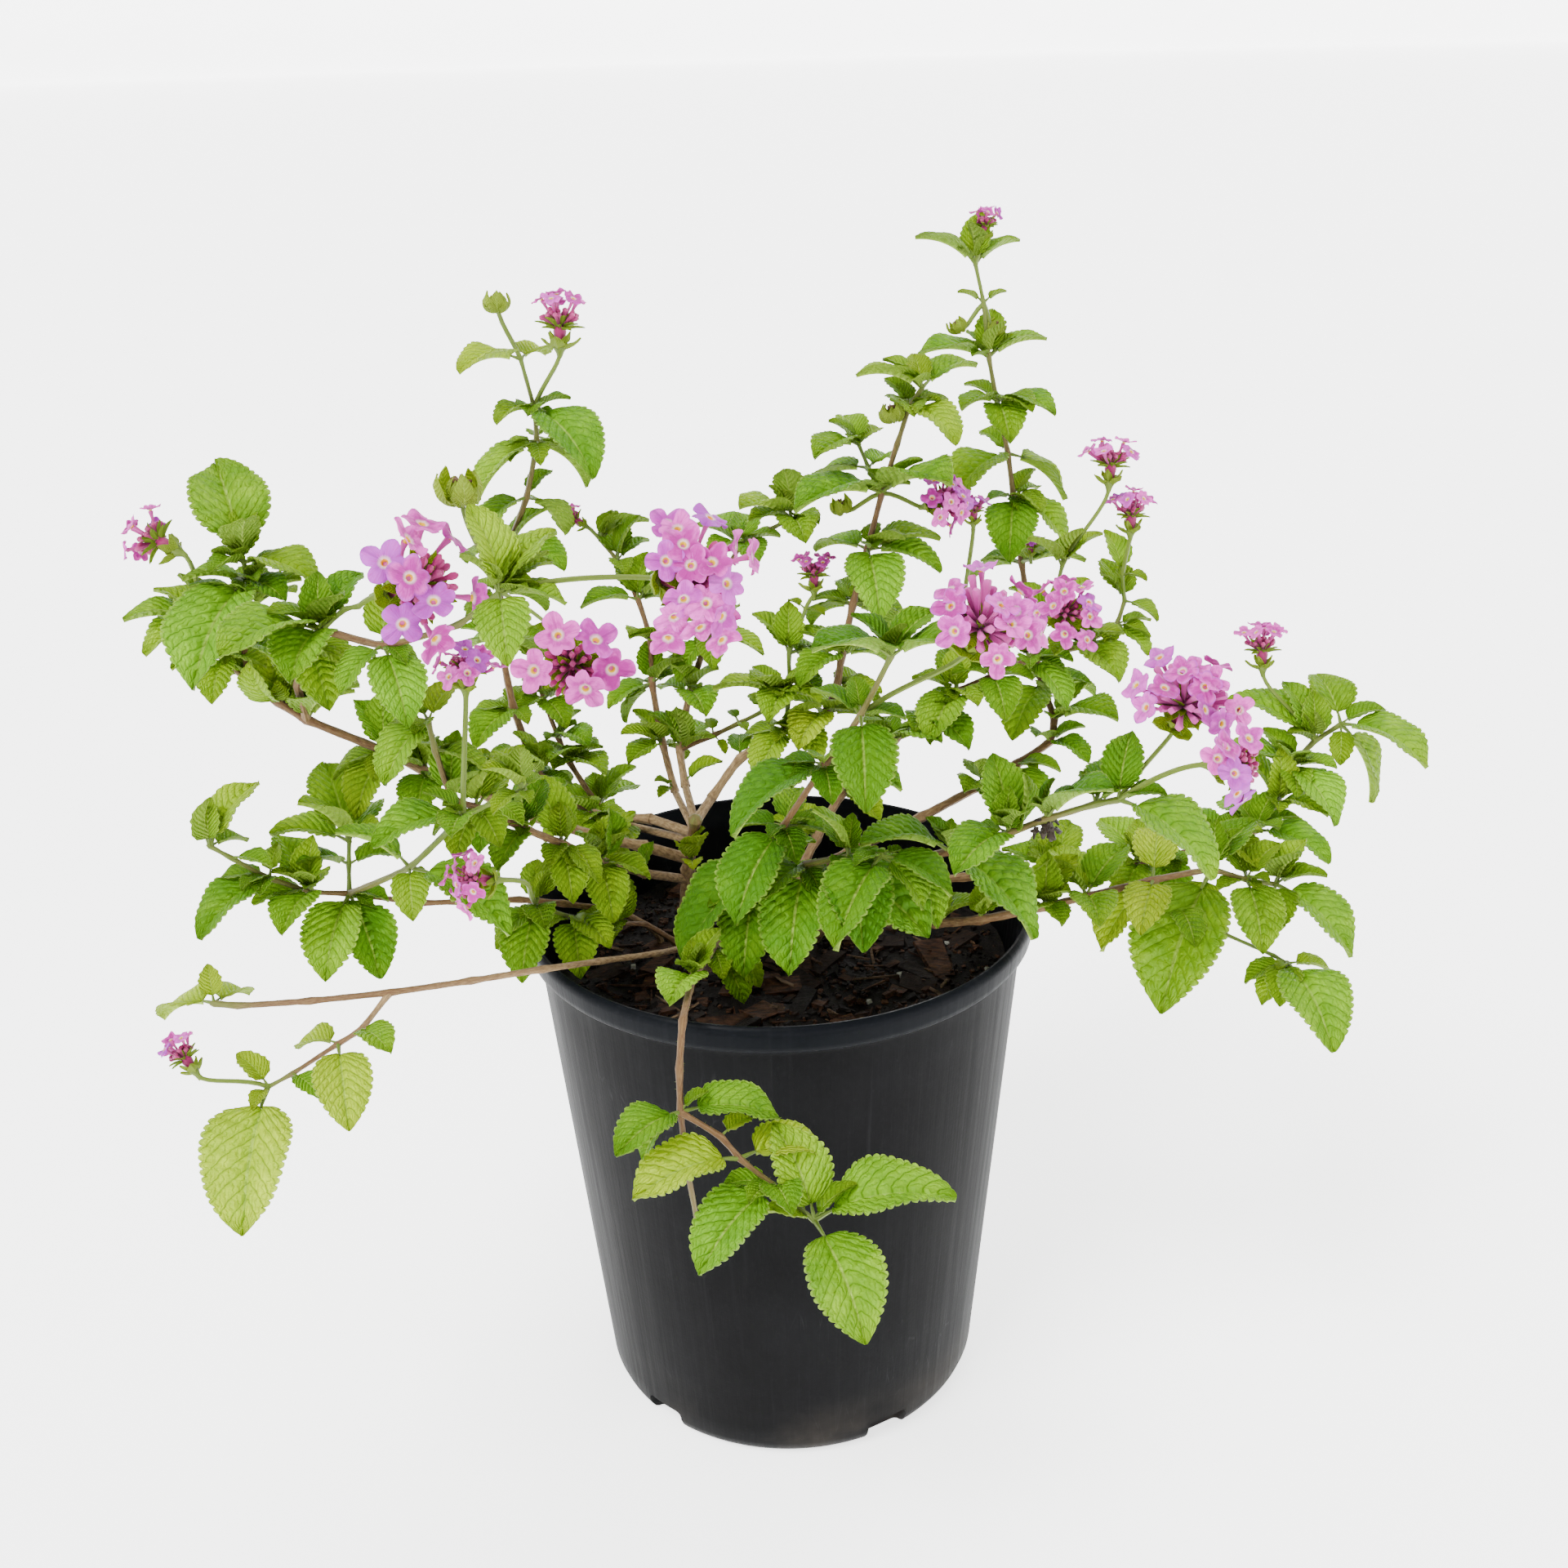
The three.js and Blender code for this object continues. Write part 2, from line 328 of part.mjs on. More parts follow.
function solidOf(geometry) {
  const bare = geometry.index ? geometry.clone() : geometry;
  bare.deleteAttribute("normal");
  bare.deleteAttribute("uv");
  const merged = mergeVertices(bare, 1e-4);
  return new wasm.Manifold(new wasm.Mesh({
    numProp: 3,
    vertProperties: new Float32Array(merged.attributes.position.array),
    triVerts: new Uint32Array(merged.index.array),
  }));
}

const joined = (solids) => solids.reduce((sum, next) => sum.add(next));

const group = new THREE.Group();

function place(name, body, material) {
  const mesh = body.getMesh();
  const geometry = new THREE.BufferGeometry();
  geometry.setAttribute("position", new THREE.BufferAttribute(new Float32Array(mesh.vertProperties), 3));
  geometry.setIndex(new THREE.BufferAttribute(new Uint32Array(mesh.triVerts), 1));
  geometry.computeVertexNormals();
  const part = new THREE.Mesh(geometry, material);
  part.name = name;
  group.add(part);
}

// A closed tube through a list of points, with a ring of `sides` corners at each point.
function tube(points, radii, sides) {
  const rings = [];
  let across = null;
  points.forEach((p, i) => {
    const before = points[Math.max(i - 1, 0)];
    const after = points[Math.min(i + 1, points.length - 1)];
    const along = p.clone().sub(before).normalize().add(after.clone().sub(p).normalize()).normalize();
    if (!across) across = Math.abs(along.z) > 0.8 ? V(1, 0.2, 0) : V(0, 0, 1);
    across = across.clone().addScaledVector(along, -across.dot(along)).normalize();
    const other = along.clone().cross(across);
    for (let k = 0; k < sides; k++) {
      const turn = (2 * Math.PI * k) / sides;
      rings.push(p.clone().addScaledVector(across, radii[i] * Math.cos(turn))
        .addScaledVector(other, radii[i] * Math.sin(turn)));
    }
  });
  const faces = [];
  for (let i = 0; i + 1 < points.length; i++) {
    for (let k = 0; k < sides; k++) {
      const a = i * sides + k;
      const b = i * sides + ((k + 1) % sides);
      faces.push([a, b, b + sides], [a, b + sides, a + sides]);
    }
  }
  const last = (points.length - 1) * sides;
  for (let k = 1; k + 1 < sides; k++) {
    faces.push([0, k + 1, k], [last, last + k, last + k + 1]);
  }
  return solid(rings, faces);
}

// ---------------------------------------------------------------- leaves
// Unit vectors of a leaf: along its chord, across it (level) and out of its upper face.
function leafAxes(heading, rise) {
  const h = rad(heading);
  const r = rad(rise);
  const along = V(Math.cos(h) * Math.cos(r), Math.sin(h) * Math.cos(r), Math.sin(r));
  const across = V(-Math.sin(h), Math.cos(h), 0);
  return { along, across, up: along.clone().cross(across) };
}

const halfWidth = (t) => Math.sin(Math.PI * t ** LEAF_BELLY) ** LEAF_ROUND;

// One leaf as a closed blade on a three-sided stalk: the chord runs from the stem to the tip, the
// midrib arches over it, both halves fold up a little, and the rim steps in and out as teeth.
function leaf(root, heading, rise, length) {
  const { along, across, up } = leafAxes(heading, rise);
  const size = length >= LARGE_LEAF ? "large" : length >= MIDDLE_LEAF ? "middle" : "small";
  const { rim, rib } = LEAF_RINGS[size];
  const stalk = Math.max(LEAST_STALK, STALK_SHARE * length);
  const span = length - stalk;
  const at = (s) => root.clone().addScaledVector(along, s * length)
    .addScaledVector(up, 4 * LEAF_ARCH * length * s * (1 - s));
  const upAt = (s) => along.clone().addScaledVector(up, 4 * LEAF_ARCH * (1 - 2 * s)).normalize()
    .cross(across);
  const alongBlade = (t) => (stalk + span * t) / length;
  const rimPoint = (t, side, swell) => {
    const w = LEAF_WIDTH * span * halfWidth(t) * swell;
    const s = alongBlade(t);
    return at(s).addScaledVector(across, side * w * Math.cos(rad(LEAF_FOLD)))
      .addScaledVector(upAt(s), w * Math.sin(rad(LEAF_FOLD)));
  };
  const points = [];
  const put = (p) => points.push(p) - 1;
  const start = put(root.clone().addScaledVector(along, -STALK_SUNK));
  const throat = at(alongBlade(0));
  const neck = [
    put(throat.clone().addScaledVector(across, STALK_HALF)),
    put(throat.clone().addScaledVector(across, -STALK_HALF)),
    put(throat.clone().addScaledVector(upAt(alongBlade(0)), -1.3 * STALK_HALF)),
  ];
  const sides = [1, -1].map((side, n) => [
    { t: 0, id: neck[n] },
    ...rim.map((t, k) => ({ t, id: put(rimPoint(t, side, k % 2 ? 1 - LEAF_TOOTH : 1 + LEAF_TOOTH)) })),
  ]);
  const tip = { t: 1, id: put(at(1)) };
  const ribs = [LEAF_THICK * 0.3, -LEAF_THICK * 0.7].map((offset) => rib.map((t) => {
    const s = alongBlade(t);
    return { t, id: put(at(s).addScaledVector(upAt(s), offset)) };
  }));
  const faces = [[0, 1], [1, 2], [2, 0]].map(([a, b]) => [start, neck[b], neck[a]]);
  const zip = (outer, inner, flip) => {
    let i = 0;
    let j = 0;
    while (i + 1 < outer.length || j + 1 < inner.length) {
      const innerDone = j + 1 >= inner.length;
      const stepOuter = innerDone || (i + 1 < outer.length && outer[i + 1].t <= inner[j + 1].t);
      const face = stepOuter ? [inner[j].id, outer[i + 1].id, outer[i].id]
        : [inner[j].id, inner[j + 1].id, outer[i].id];
      if (stepOuter) i++;
      else j++;
      if (new Set(face).size === 3) faces.push(flip ? [face[0], face[2], face[1]] : face);
    }
  };
  faces.push([neck[0], neck[1], ribs[0][0].id]);
  sides.forEach((outer, n) => {
    zip([...outer, tip], [...ribs[0], tip], n === 1);
    zip([...outer, tip], [{ t: 0, id: neck[2] }, ...ribs[1], tip], n === 0);
  });
  return solid(points, faces);
}

// ---------------------------------------------------------------- stems and flower stalks
const shoots = new Map(SHOOTS.map(([name, node, thick, thin, points, leaves]) => {
  const path = points.map((p) => V(...p));
  const radii = path.map((_, i) => Math.max(LEAST_STEM, mix(thick, thin, i / (path.length - 1))));
  return [name, { name, node, path, radii, leaves }];
}));

function headAxes(heading, rise) {
  const { along: axis } = leafAxes(heading, rise);
  const side = axis.clone().cross(Math.abs(axis.z) < 0.95 ? V(0, 0, 1) : V(0, 1, 0)).normalize();
  return { axis, side, over: side.clone().cross(axis) };
}

const directionAt = ({ axis, side, over }, tilt, turn) => axis.clone().multiplyScalar(Math.cos(rad(tilt)))
  .addScaledVector(side, Math.cos(rad(turn)) * Math.sin(rad(tilt)))
  .addScaledVector(over, Math.sin(rad(turn)) * Math.sin(rad(tilt)));

// The stalk bends up out of the leaf axil and meets the flower head square on.
function flowerStalk(from, foot, axis, sunk) {
  const reach = foot.distanceTo(from);
  const leave = foot.clone().sub(from).normalize().addScaledVector(V(0, 0, 1), STALK_LIFT).normalize();
  const curve = new THREE.CubicBezierCurve3(
    from,
    from.clone().addScaledVector(leave, reach * 0.35),
    foot.clone().addScaledVector(axis, -reach * 0.28),
    foot.clone().addScaledVector(axis, -sunk),
  );
  const points = curve.getPoints(reach > LONG_PEDUNCLE ? 4 : 2);
  const radii = points.map((_, i) => mix(PEDUNCLE_FOOT, PEDUNCLE_TIP, i / (points.length - 1)));
  return tube(points, radii, 3);
}

// A shallow cup with pointed bracts round its edge, just under the flower head.
function calyx(foot, axes, spread) {
  const points = [
    foot.clone().addScaledVector(axes.axis, -CALYX_DEPTH),
    foot.clone().addScaledVector(axes.axis, -CALYX_GAP - CALYX_RIM),
  ];
  const count = 2 * BRACTS;
  for (let k = 0; k < count; k++) {
    const out = directionAt(axes, 90, (360 * k) / count);
    const [far, drop] = k % 2 ? [0.55, CALYX_RIM] : [1, 0.25 * CALYX_RIM];
    points.push(foot.clone().addScaledVector(out, spread * far)
      .addScaledVector(axes.axis, -CALYX_GAP - drop));
  }
  const faces = [];
  for (let k = 0; k < count; k++) {
    const a = 2 + k;
    const b = 2 + ((k + 1) % count);
    faces.push([0, a, b], [1, b, a]);
  }
  return solid(points, faces);
}

// A closed green head: a small faceted bud.
function greenHead(foot, axes, across) {
  const bud = new THREE.IcosahedronGeometry(across / 2, 0);
  const centre = foot.clone().addScaledVector(axes.axis, across * CORE_SHARE);
  bud.translate(centre.x, centre.y, centre.z);
  return solidOf(bud);
}

// ---------------------------------------------------------------- flowers
function core(centre, radius) {
  const ball = new THREE.OctahedronGeometry(radius, 0);
  ball.translate(centre.x, centre.y, centre.z);
  return solidOf(ball);
}

// One floret: a tube that flares into a lobed face, with its eye set in.
function floret(centre, out, axis, reach, face) {
  const facing = out.clone().multiplyScalar(1 - FACE_LEAN).addScaledVector(axis, FACE_LEAN);
  facing.normalize();
  const side = facing.clone().cross(Math.abs(facing.z) < 0.9 ? V(0, 0, 1) : V(1, 0, 0)).normalize();
  const over = side.clone().cross(facing);
  const throatAt = centre.clone().addScaledVector(out, reach - FLORET_DISH * face);
  const at = (from, rise, turn, radius) => from.clone().addScaledVector(facing, rise)
    .addScaledVector(side, radius * Math.cos(turn)).addScaledVector(over, radius * Math.sin(turn));
  const lobe = face >= LOBED_FACE ? [0.6, 1] : [1];
  const count = 4 * lobe.length;
  const points = [throatAt];
  for (let k = 0; k < count; k++) {
    const full = lobe[k % lobe.length];
    const rise = (FLORET_DISH - (1 - full) * LOBE_DROP) * face;
    points.push(at(throatAt, rise, (2 * Math.PI * k) / count, face * full));
  }
  const neck = centre.clone().addScaledVector(out, reach * FLORET_NECK);
  for (let k = 0; k < 3; k++) {
    points.push(at(neck, 0, (2 * Math.PI * k) / 3, NECK_SHARE * face + LEAST_NECK));
  }
  points.push(centre.clone());
  const faces = [];
  const throat = (k) => 1 + count + (Math.floor((k * 3) / count) % 3);
  for (let k = 0; k < count; k++) {
    const a = 1 + k;
    const b = 1 + ((k + 1) % count);
    faces.push([0, b, a], [a, b, throat(k)]);
    if (throat(k) !== throat(k + 1)) faces.push([throat(k), b, throat(k + 1)]);
  }
  for (let k = 0; k < 3; k++) {
    const a = 1 + count + k;
    const b = 1 + count + ((k + 1) % 3);
    faces.push([a, b, 4 + count]);
  }
  return solid(points, faces);
}

// ---------------------------------------------------------------- growing
const rootOf = (shoot, index) => {
  if (index === 1 && HUB.includes(shoot.name)) {
    const along = shoot.path[2].clone().sub(shoot.path[1]).normalize();
    return shoot.path[1].clone().addScaledVector(along, HUB_LEAF);
  }
  return shoot.path[index];
};

function stemTube(shoot) {
  const { path, radii } = shoot;
  const sides = radii[0] > FOUR_SIDED ? 4 : 3;
  const last = path.length - 1;
  const onward = path[last].clone().sub(path[last - 1]).setLength(STEM_PAST_NODE);
  const end = path[last].clone().add(onward);
  if (!HUB.includes(shoot.name)) return tube([...path, end], [...radii, radii[last]], sides);
  const along = path[2].clone().sub(path[1]).normalize();
  const begin = path[1].clone().addScaledVector(along, HUB_GAP);
  return tube([begin, ...path.slice(2), end], [...radii.slice(1), radii[last]], sides);
}

const parts = new Map();
const grow = (node, piece) => parts.set(node, [...(parts.get(node) ?? []), piece]);

shoots.forEach((shoot) => {
  grow(shoot.node, stemTube(shoot));
  if (HUB.includes(shoot.name)) grow("crown", tube(shoot.path.slice(0, 2), shoot.radii.slice(0, 2), 4));
  shoot.leaves.forEach(([index, heading, rise, length]) => {
    const least = index === shoot.path.length - 1 ? LEAST_TIP_LEAF : LEAST_LEAF;
    if (length >= least) grow(shoot.node, leaf(rootOf(shoot, index), heading, rise, length));
  });
});

HEADS.forEach(([name, from, index, foot, heading, rise, across, face, rings]) => {
  const shoot = shoots.get(from);
  const axes = headAxes(heading, rise);
  const base = V(...foot);
  const green = rings.length === 0;
  const sunk = green ? 0 : CALYX_DEPTH * 0.6;
  grow(shoot.node, flowerStalk(rootOf(shoot, index), base, axes.axis, sunk));
  if (green) {
    grow(shoot.node, greenHead(base, axes, across));
    return;
  }
  grow(shoot.node, calyx(base, axes, across * CALYX_SHARE));
  const centre = base.clone().addScaledVector(axes.axis, across * CORE_SHARE);
  const reach = across / 2 - FLORET_INSET;
  grow(name, core(centre, across * CORE_SHARE - CORE_GAP));
  rings.forEach(([count, tilt, turn]) => {
    for (let k = 0; k < count; k++) {
      const out = directionAt(axes, tilt, turn + (360 * k) / count);
      grow(name, floret(centre, out, axes.axis, reach, face));
    }
  });
});

// ---------------------------------------------------------------- pot and soil
const plastic = new THREE.MeshStandardMaterial({ color: 0x1d1f23, roughness: 0.55, metalness: 0 });
const bark = new THREE.MeshStandardMaterial({ color: 0x3a2418, roughness: 0.95, metalness: 0 });
const wood = new THREE.MeshStandardMaterial({ color: 0x9a7a55, roughness: 0.85, metalness: 0 });
const foliage = new THREE.MeshStandardMaterial({ color: 0x6fa52c, roughness: 0.6, metalness: 0 });
const petal = new THREE.MeshStandardMaterial({ color: 0xc06fd0, roughness: 0.6, metalness: 0 });

const wallRadius = (z) => mix(POT_FOOT_RADIUS, POT_TOP_RADIUS, z / (POT_HEIGHT - POT_LIP_HEIGHT));

function pot() {
  const lipFoot = POT_HEIGHT - POT_LIP_HEIGHT;
  const profile = [
    [0, 0],
    [POT_FOOT_RADIUS - POT_EDGE, 0],
    [POT_FOOT_RADIUS - 1.6, 1.8],
    [wallRadius(POT_EDGE), POT_EDGE],
    [POT_TOP_RADIUS, lipFoot],
    [POT_LIP_RADIUS - 0.6, lipFoot + 1],
    [POT_LIP_RADIUS, POT_HEIGHT - 2],
    [POT_LIP_RADIUS - 1, POT_HEIGHT],
    [POT_LIP_RADIUS - 2.6, POT_HEIGHT],
    [POT_TOP_RADIUS - POT_WALL, lipFoot],
    [wallRadius(POT_EDGE + 2) - POT_WALL, POT_EDGE + 2],
    [POT_FOOT_RADIUS - POT_EDGE, POT_WALL],
    [0, POT_WALL],
  ].map(([r, z]) => new THREE.Vector2(r, z));
  const shell = new THREE.LatheGeometry(profile, POT_SIDES);
  shell.rotateX(Math.PI / 2);
  let body = solidOf(shell);
  for (let k = 0; k < DRAINS; k++) {
    const drain = new THREE.BoxGeometry(DRAIN_DEPTH, DRAIN_WIDTH, 2 * DRAIN_HEIGHT);
    drain.translate(POT_FOOT_RADIUS, 0, 0);
    drain.rotateZ((2 * Math.PI * (k + DRAIN_START)) / DRAINS);
    body = body.subtract(solidOf(drain));
  }
  return body;
}

// A small repeatable random source for the lie of the bark chips.
function randomSource(seed) {
  let state = seed;
  return () => {
    state = (state * 16807) % 2147483647;
    return state / 2147483647;
  };
}

function soil() {
  const inner = (z) => wallRadius(z) - POT_WALL - SOIL_GAP;
  const profile = [
    [0, POT_WALL + SOIL_GAP],
    [SOIL_FLOOR_RADIUS, POT_WALL + SOIL_GAP],
    [inner(12), 12],
    [inner(SOIL_TOP), SOIL_TOP],
    [inner(SOIL_TOP) * 0.6, SOIL_TOP],
    [0, SOIL_TOP],
  ].map(([r, z]) => new THREE.Vector2(r, z));
  const mound = new THREE.LatheGeometry(profile, POT_SIDES);
  mound.rotateX(Math.PI / 2);
  const spots = mound.attributes.position;
  for (let i = 0; i < spots.count; i++) {
    const [x, y, z] = [spots.getX(i), spots.getY(i), spots.getZ(i)];
    const swell = Math.sin(0.13 * x + 1) * Math.cos(0.17 * y);
    if (z > SOIL_TOP - 1) spots.setZ(i, z + SOIL_RELIEF * swell);
  }
  let body = solidOf(mound);
  const random = randomSource(7);
  for (let k = 0; k < CHIPS; k++) {
    const chip = new THREE.BoxGeometry(mix(6, 15, random()), mix(3, 7, random()), mix(2, 4, random()));
    const turn = k * 2.4;
    const out = 70 * Math.sqrt((k + 0.5) / CHIPS) - 2;
    chip.rotateX(mix(-0.4, 0.4, random()));
    chip.rotateY(mix(-0.35, 0.35, random()));
    chip.rotateZ(mix(0, Math.PI, random()));
    chip.translate(out * Math.cos(turn), out * Math.sin(turn), SOIL_TOP + 1);
    body = body.add(solidOf(chip));
  }
  shoots.forEach(({ path, radii }) => {
    if (path[0].z > SOIL_TOP + 4) return;
    const down = path[0].clone().addScaledVector(V(0, 0, -1), 2);
    const sides = radii[0] > FOUR_SIDED ? 4 : 3;
    const wide = (1 / Math.cos(Math.PI / sides)) * HOLE_GAP;
    const route = [down, ...path.slice(0, 2)];
    body = body.subtract(tube(route, [0, 0, 1].map((i) => radii[i] + wide), sides));
  });
  return body;
}

// ---------------------------------------------------------------- assembly
place("pot", pot(), plastic);
place("soil", soil(), bark);
parts.forEach((pieces, name) => {
  const material = name === "crown" ? wood : name.startsWith("bloom") ? petal : foliage;
  place(name, joined(pieces), material);
});

export default group;
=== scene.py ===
"""Trailing lantana in a black nursery pot: the visible model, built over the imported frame.

The shoots and flower heads are written in millimetres in the row frame, as the solids are, and a
piece's points are turned into metres when its mesh is made. Every leaf lies on the arc of its own
solid, and every floret faces where its solid does.
"""

import math

import bpy
import numpy as np
from mathutils import Matrix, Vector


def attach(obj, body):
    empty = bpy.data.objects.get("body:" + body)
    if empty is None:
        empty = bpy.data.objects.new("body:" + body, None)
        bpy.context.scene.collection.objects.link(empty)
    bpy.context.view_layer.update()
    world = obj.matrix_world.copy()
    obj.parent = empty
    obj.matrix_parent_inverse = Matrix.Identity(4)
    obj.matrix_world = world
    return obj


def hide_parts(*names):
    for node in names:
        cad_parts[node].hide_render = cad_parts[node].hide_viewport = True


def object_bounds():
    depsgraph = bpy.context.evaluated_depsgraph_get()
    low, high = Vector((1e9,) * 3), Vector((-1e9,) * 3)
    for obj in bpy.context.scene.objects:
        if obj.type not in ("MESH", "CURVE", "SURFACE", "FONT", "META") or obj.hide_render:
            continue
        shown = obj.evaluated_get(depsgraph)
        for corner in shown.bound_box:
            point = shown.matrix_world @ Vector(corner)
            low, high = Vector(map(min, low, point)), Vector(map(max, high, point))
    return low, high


MM = 0.001

# The material slots of a leafy or flowering piece.
LEAF, STEM, PETAL, TUBE, BUD = range(5)

# Pot and potting mix, in millimetres.
POT_HEIGHT = 178
POT_LIP_RADIUS = 83.5
POT_TOP_RADIUS = 79.5
POT_FOOT_RADIUS = 64.6
POT_WALL = 1.6
POT_EDGE = 6
POT_LIP_HEIGHT = 9
POT_SIDES = 160
POT_CREASE = 35
DRAINS = 5
DRAIN_WIDTH = 15
DRAIN_HEIGHT = 9
DRAIN_DEPTH = 12
DRAIN_ROUND = 2
DRAIN_START = 0.15
SOIL_TOP = 153
SOIL_GAP = 0.5
SOIL_RELIEF = 1.8
SOIL_FLOOR_RADIUS = 55.6
SOIL_SIDES = 120
SOIL_RINGS = 34
# How far above SOIL_TOP the mix and its lumps may stand.
SOIL_LIMIT = 2.6
LUMP_LIMIT = 2.9
PEBBLE_AT = (40, -13)
# What lies on the mix: how many lumps, the spans of their three sizes, the span of their kind,
# and how high each lies. Chips, crumbs, grains, short and long fibres, small stones.
LITTER = [
    (46, ((11, 21), (6, 11), (1.8, 3)), (0.12, 0.46), 0.2),
    (260, ((3, 8), (2, 4.5), (1, 2.4)), (0.0, 0.4), 0.2),
    (2200, ((0.8, 2.4), (0.7, 2.0), (0.6, 1.6)), (0.0, 0.4), 0.3),
    (70, ((6, 20), (0.6, 1.3), (0.6, 1.1)), (0.2, 0.8), 0.5),
    (9, ((18, 34), (1.0, 1.6), (1.0, 1.4)), (0.6, 0.75), 0.6),
    (14, ((1.6, 3.2), (1.4, 2.6), (1.2, 2)), (0.96, 1.0), 0.35),
]

# Leaves: the same arc, fold and outline as the solids, with a real blade's thickness.
LEAF_WIDTH = 0.38
LEAF_BELLY = 0.7
LEAF_ROUND = 0.65
LEAF_POINT = 0.18
LEAF_ARCH = 0.13
LEAF_FOLD = math.radians(18)
LEAF_THICK = 0.3
STALK_SHARE = 0.16
LEAST_STALK = 2.5
STALK_SUNK = 0.6
TOOTH_PITCH = 1.95
TOOTH_DEPTH = 0.5
QUILT = 0.024
VEIN_PAIRS = 8
VEIN_RISE = 0.5
# Leaves longer than these get the full and the middle number of mesh columns and tooth steps.
FINE_LEAF = 28
SMALL_LEAF = 18
# A leaf that would pass the box of the solids is shortened, though never below LEAST_LEAF, until
# it keeps BOX_GAP, in millimetres. BOX_SKIN, in metres, is held for every mesh.
LEAST_LEAF = 4
BOX_GAP = 0.5
BOX_SKIN = np.array([2e-5, 2e-5, 0])
# Tufts of small leaves in the axils: the shortest leaf that has one, how many do, their length,
# and the side and size of each leaf of a tuft.
TUFT_FROM = 15
TUFT_SHARE = 0.95
TUFT_LEAF = (10, 20)
TUFT = ((-1, 1), (0.3, 0.7), (1, 1))
# A real stem is thinner than the solid that stands for it. It runs on past its last joint, swells
# at each, and is ridged until it turns to wood.
STEM_TRIM = 0.82
CROWN_TRIM = 0.62
STEM_TIP = 1.2
KNOT_SWELL = 0.28
KNOT_REACH = 1.3
WOODY = 0.75
# Hairs on a stem and on a flower stalk: how many to a millimetre, and their length.
STEM_HAIRS = (0.9, 0.7)
STALK_HAIRS = (2.2, 0.6)
# Shoots with darker leaves, how much darker, and the joints whose leaves have turned yellow.
DEEP_SHOOTS = ("front_mid", "front_low", "front_right")
DEEPER = 0.8
PALE_LEAVES = {"front_hang_side": (1, 2), "left_long_drop": (2, 4), "left_long": (9,),
               "right_low": (7,), "tall_left": (11,)}
# Places across a blade, from rim to rim, for large, middle and small leaves.
COLUMNS = [np.array([*(-x for x in reversed(half)), 0, *half]) for half in
           ([0.14, 0.38, 0.62, 0.84, 1], [0.14, 0.45, 0.8, 1], [0.6, 1])]
# The outline of one tooth, for the same three: steps along it, and how far out the rim is there.
TEETH = [(np.array([0, 0.22, 0.52, 0.82]), np.array([-0.75, 0.2, 0.5, 0.25])),
         (np.array([0, 0.3, 0.7]), np.array([-0.5, 0.25, 0.3])),
         (np.array([0, 0.45]), np.array([-0.3, 0.3]))]

# Flower heads: the cup of bracts, the ball of florets on it, and how a floret's face is turned.
CALYX_DEPTH = 4
CALYX_SHARE = 0.24
CENTRE_SHARE = 0.2
BRACT_FOLD = math.radians(14)
FLORET_INSET = 1
FLORET_DISH = 0.25
FACE_LEAN = 0.35
FACE_SWAY = 0.2
GOLDEN = 137.5
STALK_LIFT = 0.25
SPENT_HEADS = ["bloom_centre_right", "bloom_right_front"]
LARGE_FACES = {"bloom_facing": 1.22, "bloom_left_upper": 1.15}
# A floret's lobes: the direction of each from the lower one, how far out its middle is, its
# radius, all as shares of the face.
LOBES = [(0, 0.6, 0.44), (90, 0.58, 0.4), (-90, 0.58, 0.4), (157, 0.62, 0.3), (-157, 0.62, 0.3)]
# The rings of bracts round a green head: their rise, their length and how far out they stand.
GREEN_CUP = [(52, 0.62, 0.12), (70, 0.85, 0.14), (82, 0.7, 0.1)]
# A floret without its face: places along it, how thick it is there, and its material slot.
SPENT_TUBE = ([0, 0.3, 0.6, 0.85, 0.95, 1.0], [0.6, 0.75, 0.9, 1.1, 1.25, 0.9], TUBE)
CLOSED_BUD = ([0, 0.45, 0.68, 0.82, 0.93, 1.0], [0.5, 0.55, 0.7, 1.1, 0.95, 0.3], BUD)
# Joints that carry a dried head, as (shoot, joint), how many bits it has, and the mark of those.
WITHERED = [("front_right", 7)]
WITHERED_BITS = 26
DRIED = -1
# A young pale shoot low on the trunk: its foot, and its leaves as (heading, rise, length).
YOUNG_SHOOT = (-29, 17, 183)
YOUNG_LEAVES = [(-60, 55, 17), (-120, 50, 14), (-20, 70, 15), (-85, 15, 12)]
# Shoots that leave the trunk at its top, and how far out their first leaves stand.
HUB_LEAF = 2
HUB = ["tall_left", "back_left", "back_pale", "back_mid", "tall_mid", "left_far", "left_front"]

# Colours, as light reflected. A pair is the two shades that a pattern blends.
LEAF_DEEP = (0.06, 0.195, 0.003)
LEAF_DEEP_YELLOW = (0.2, 0.33, 0.002)
LEAF_FRESH = (0.26, 0.54, 0.015)
LEAF_FRESH_YELLOW = (0.52, 0.66, 0.014)
LEAF_VEIN = (0.5, 0.64, 0.12)
LEAF_UNDER = (0.28, 0.42, 0.06)
LEAF_GLOW = (0.4, 0.6, 0.0)
STEM_YOUNG = ((0.08, 0.125, 0.01), (0.15, 0.2, 0.02))
STEM_RED = ((0.07, 0.03, 0.01), (0.14, 0.08, 0.028))
STEM_OLD = ((0.11, 0.068, 0.028), (0.27, 0.18, 0.085))
DRIED_BROWN = (0.016, 0.008, 0.004)
PETAL_DEEP = (0.42, 0.018, 0.28)
PETAL_LIGHT = (0.8, 0.12, 0.59)
PETAL_VIOLET = (0.4, 0.05, 0.52)
EYE_RING = (0.9, 0.68, 0.68)
EYE_YOUNG = (0.95, 0.6, 0.01)
EYE_OLD = (0.92, 0.4, 0.01)
EYE_CORE = (0.95, 0.3, 0.01)
TUBE_SHADES = ((0.24, 0.01, 0.11), (0.44, 0.045, 0.27))
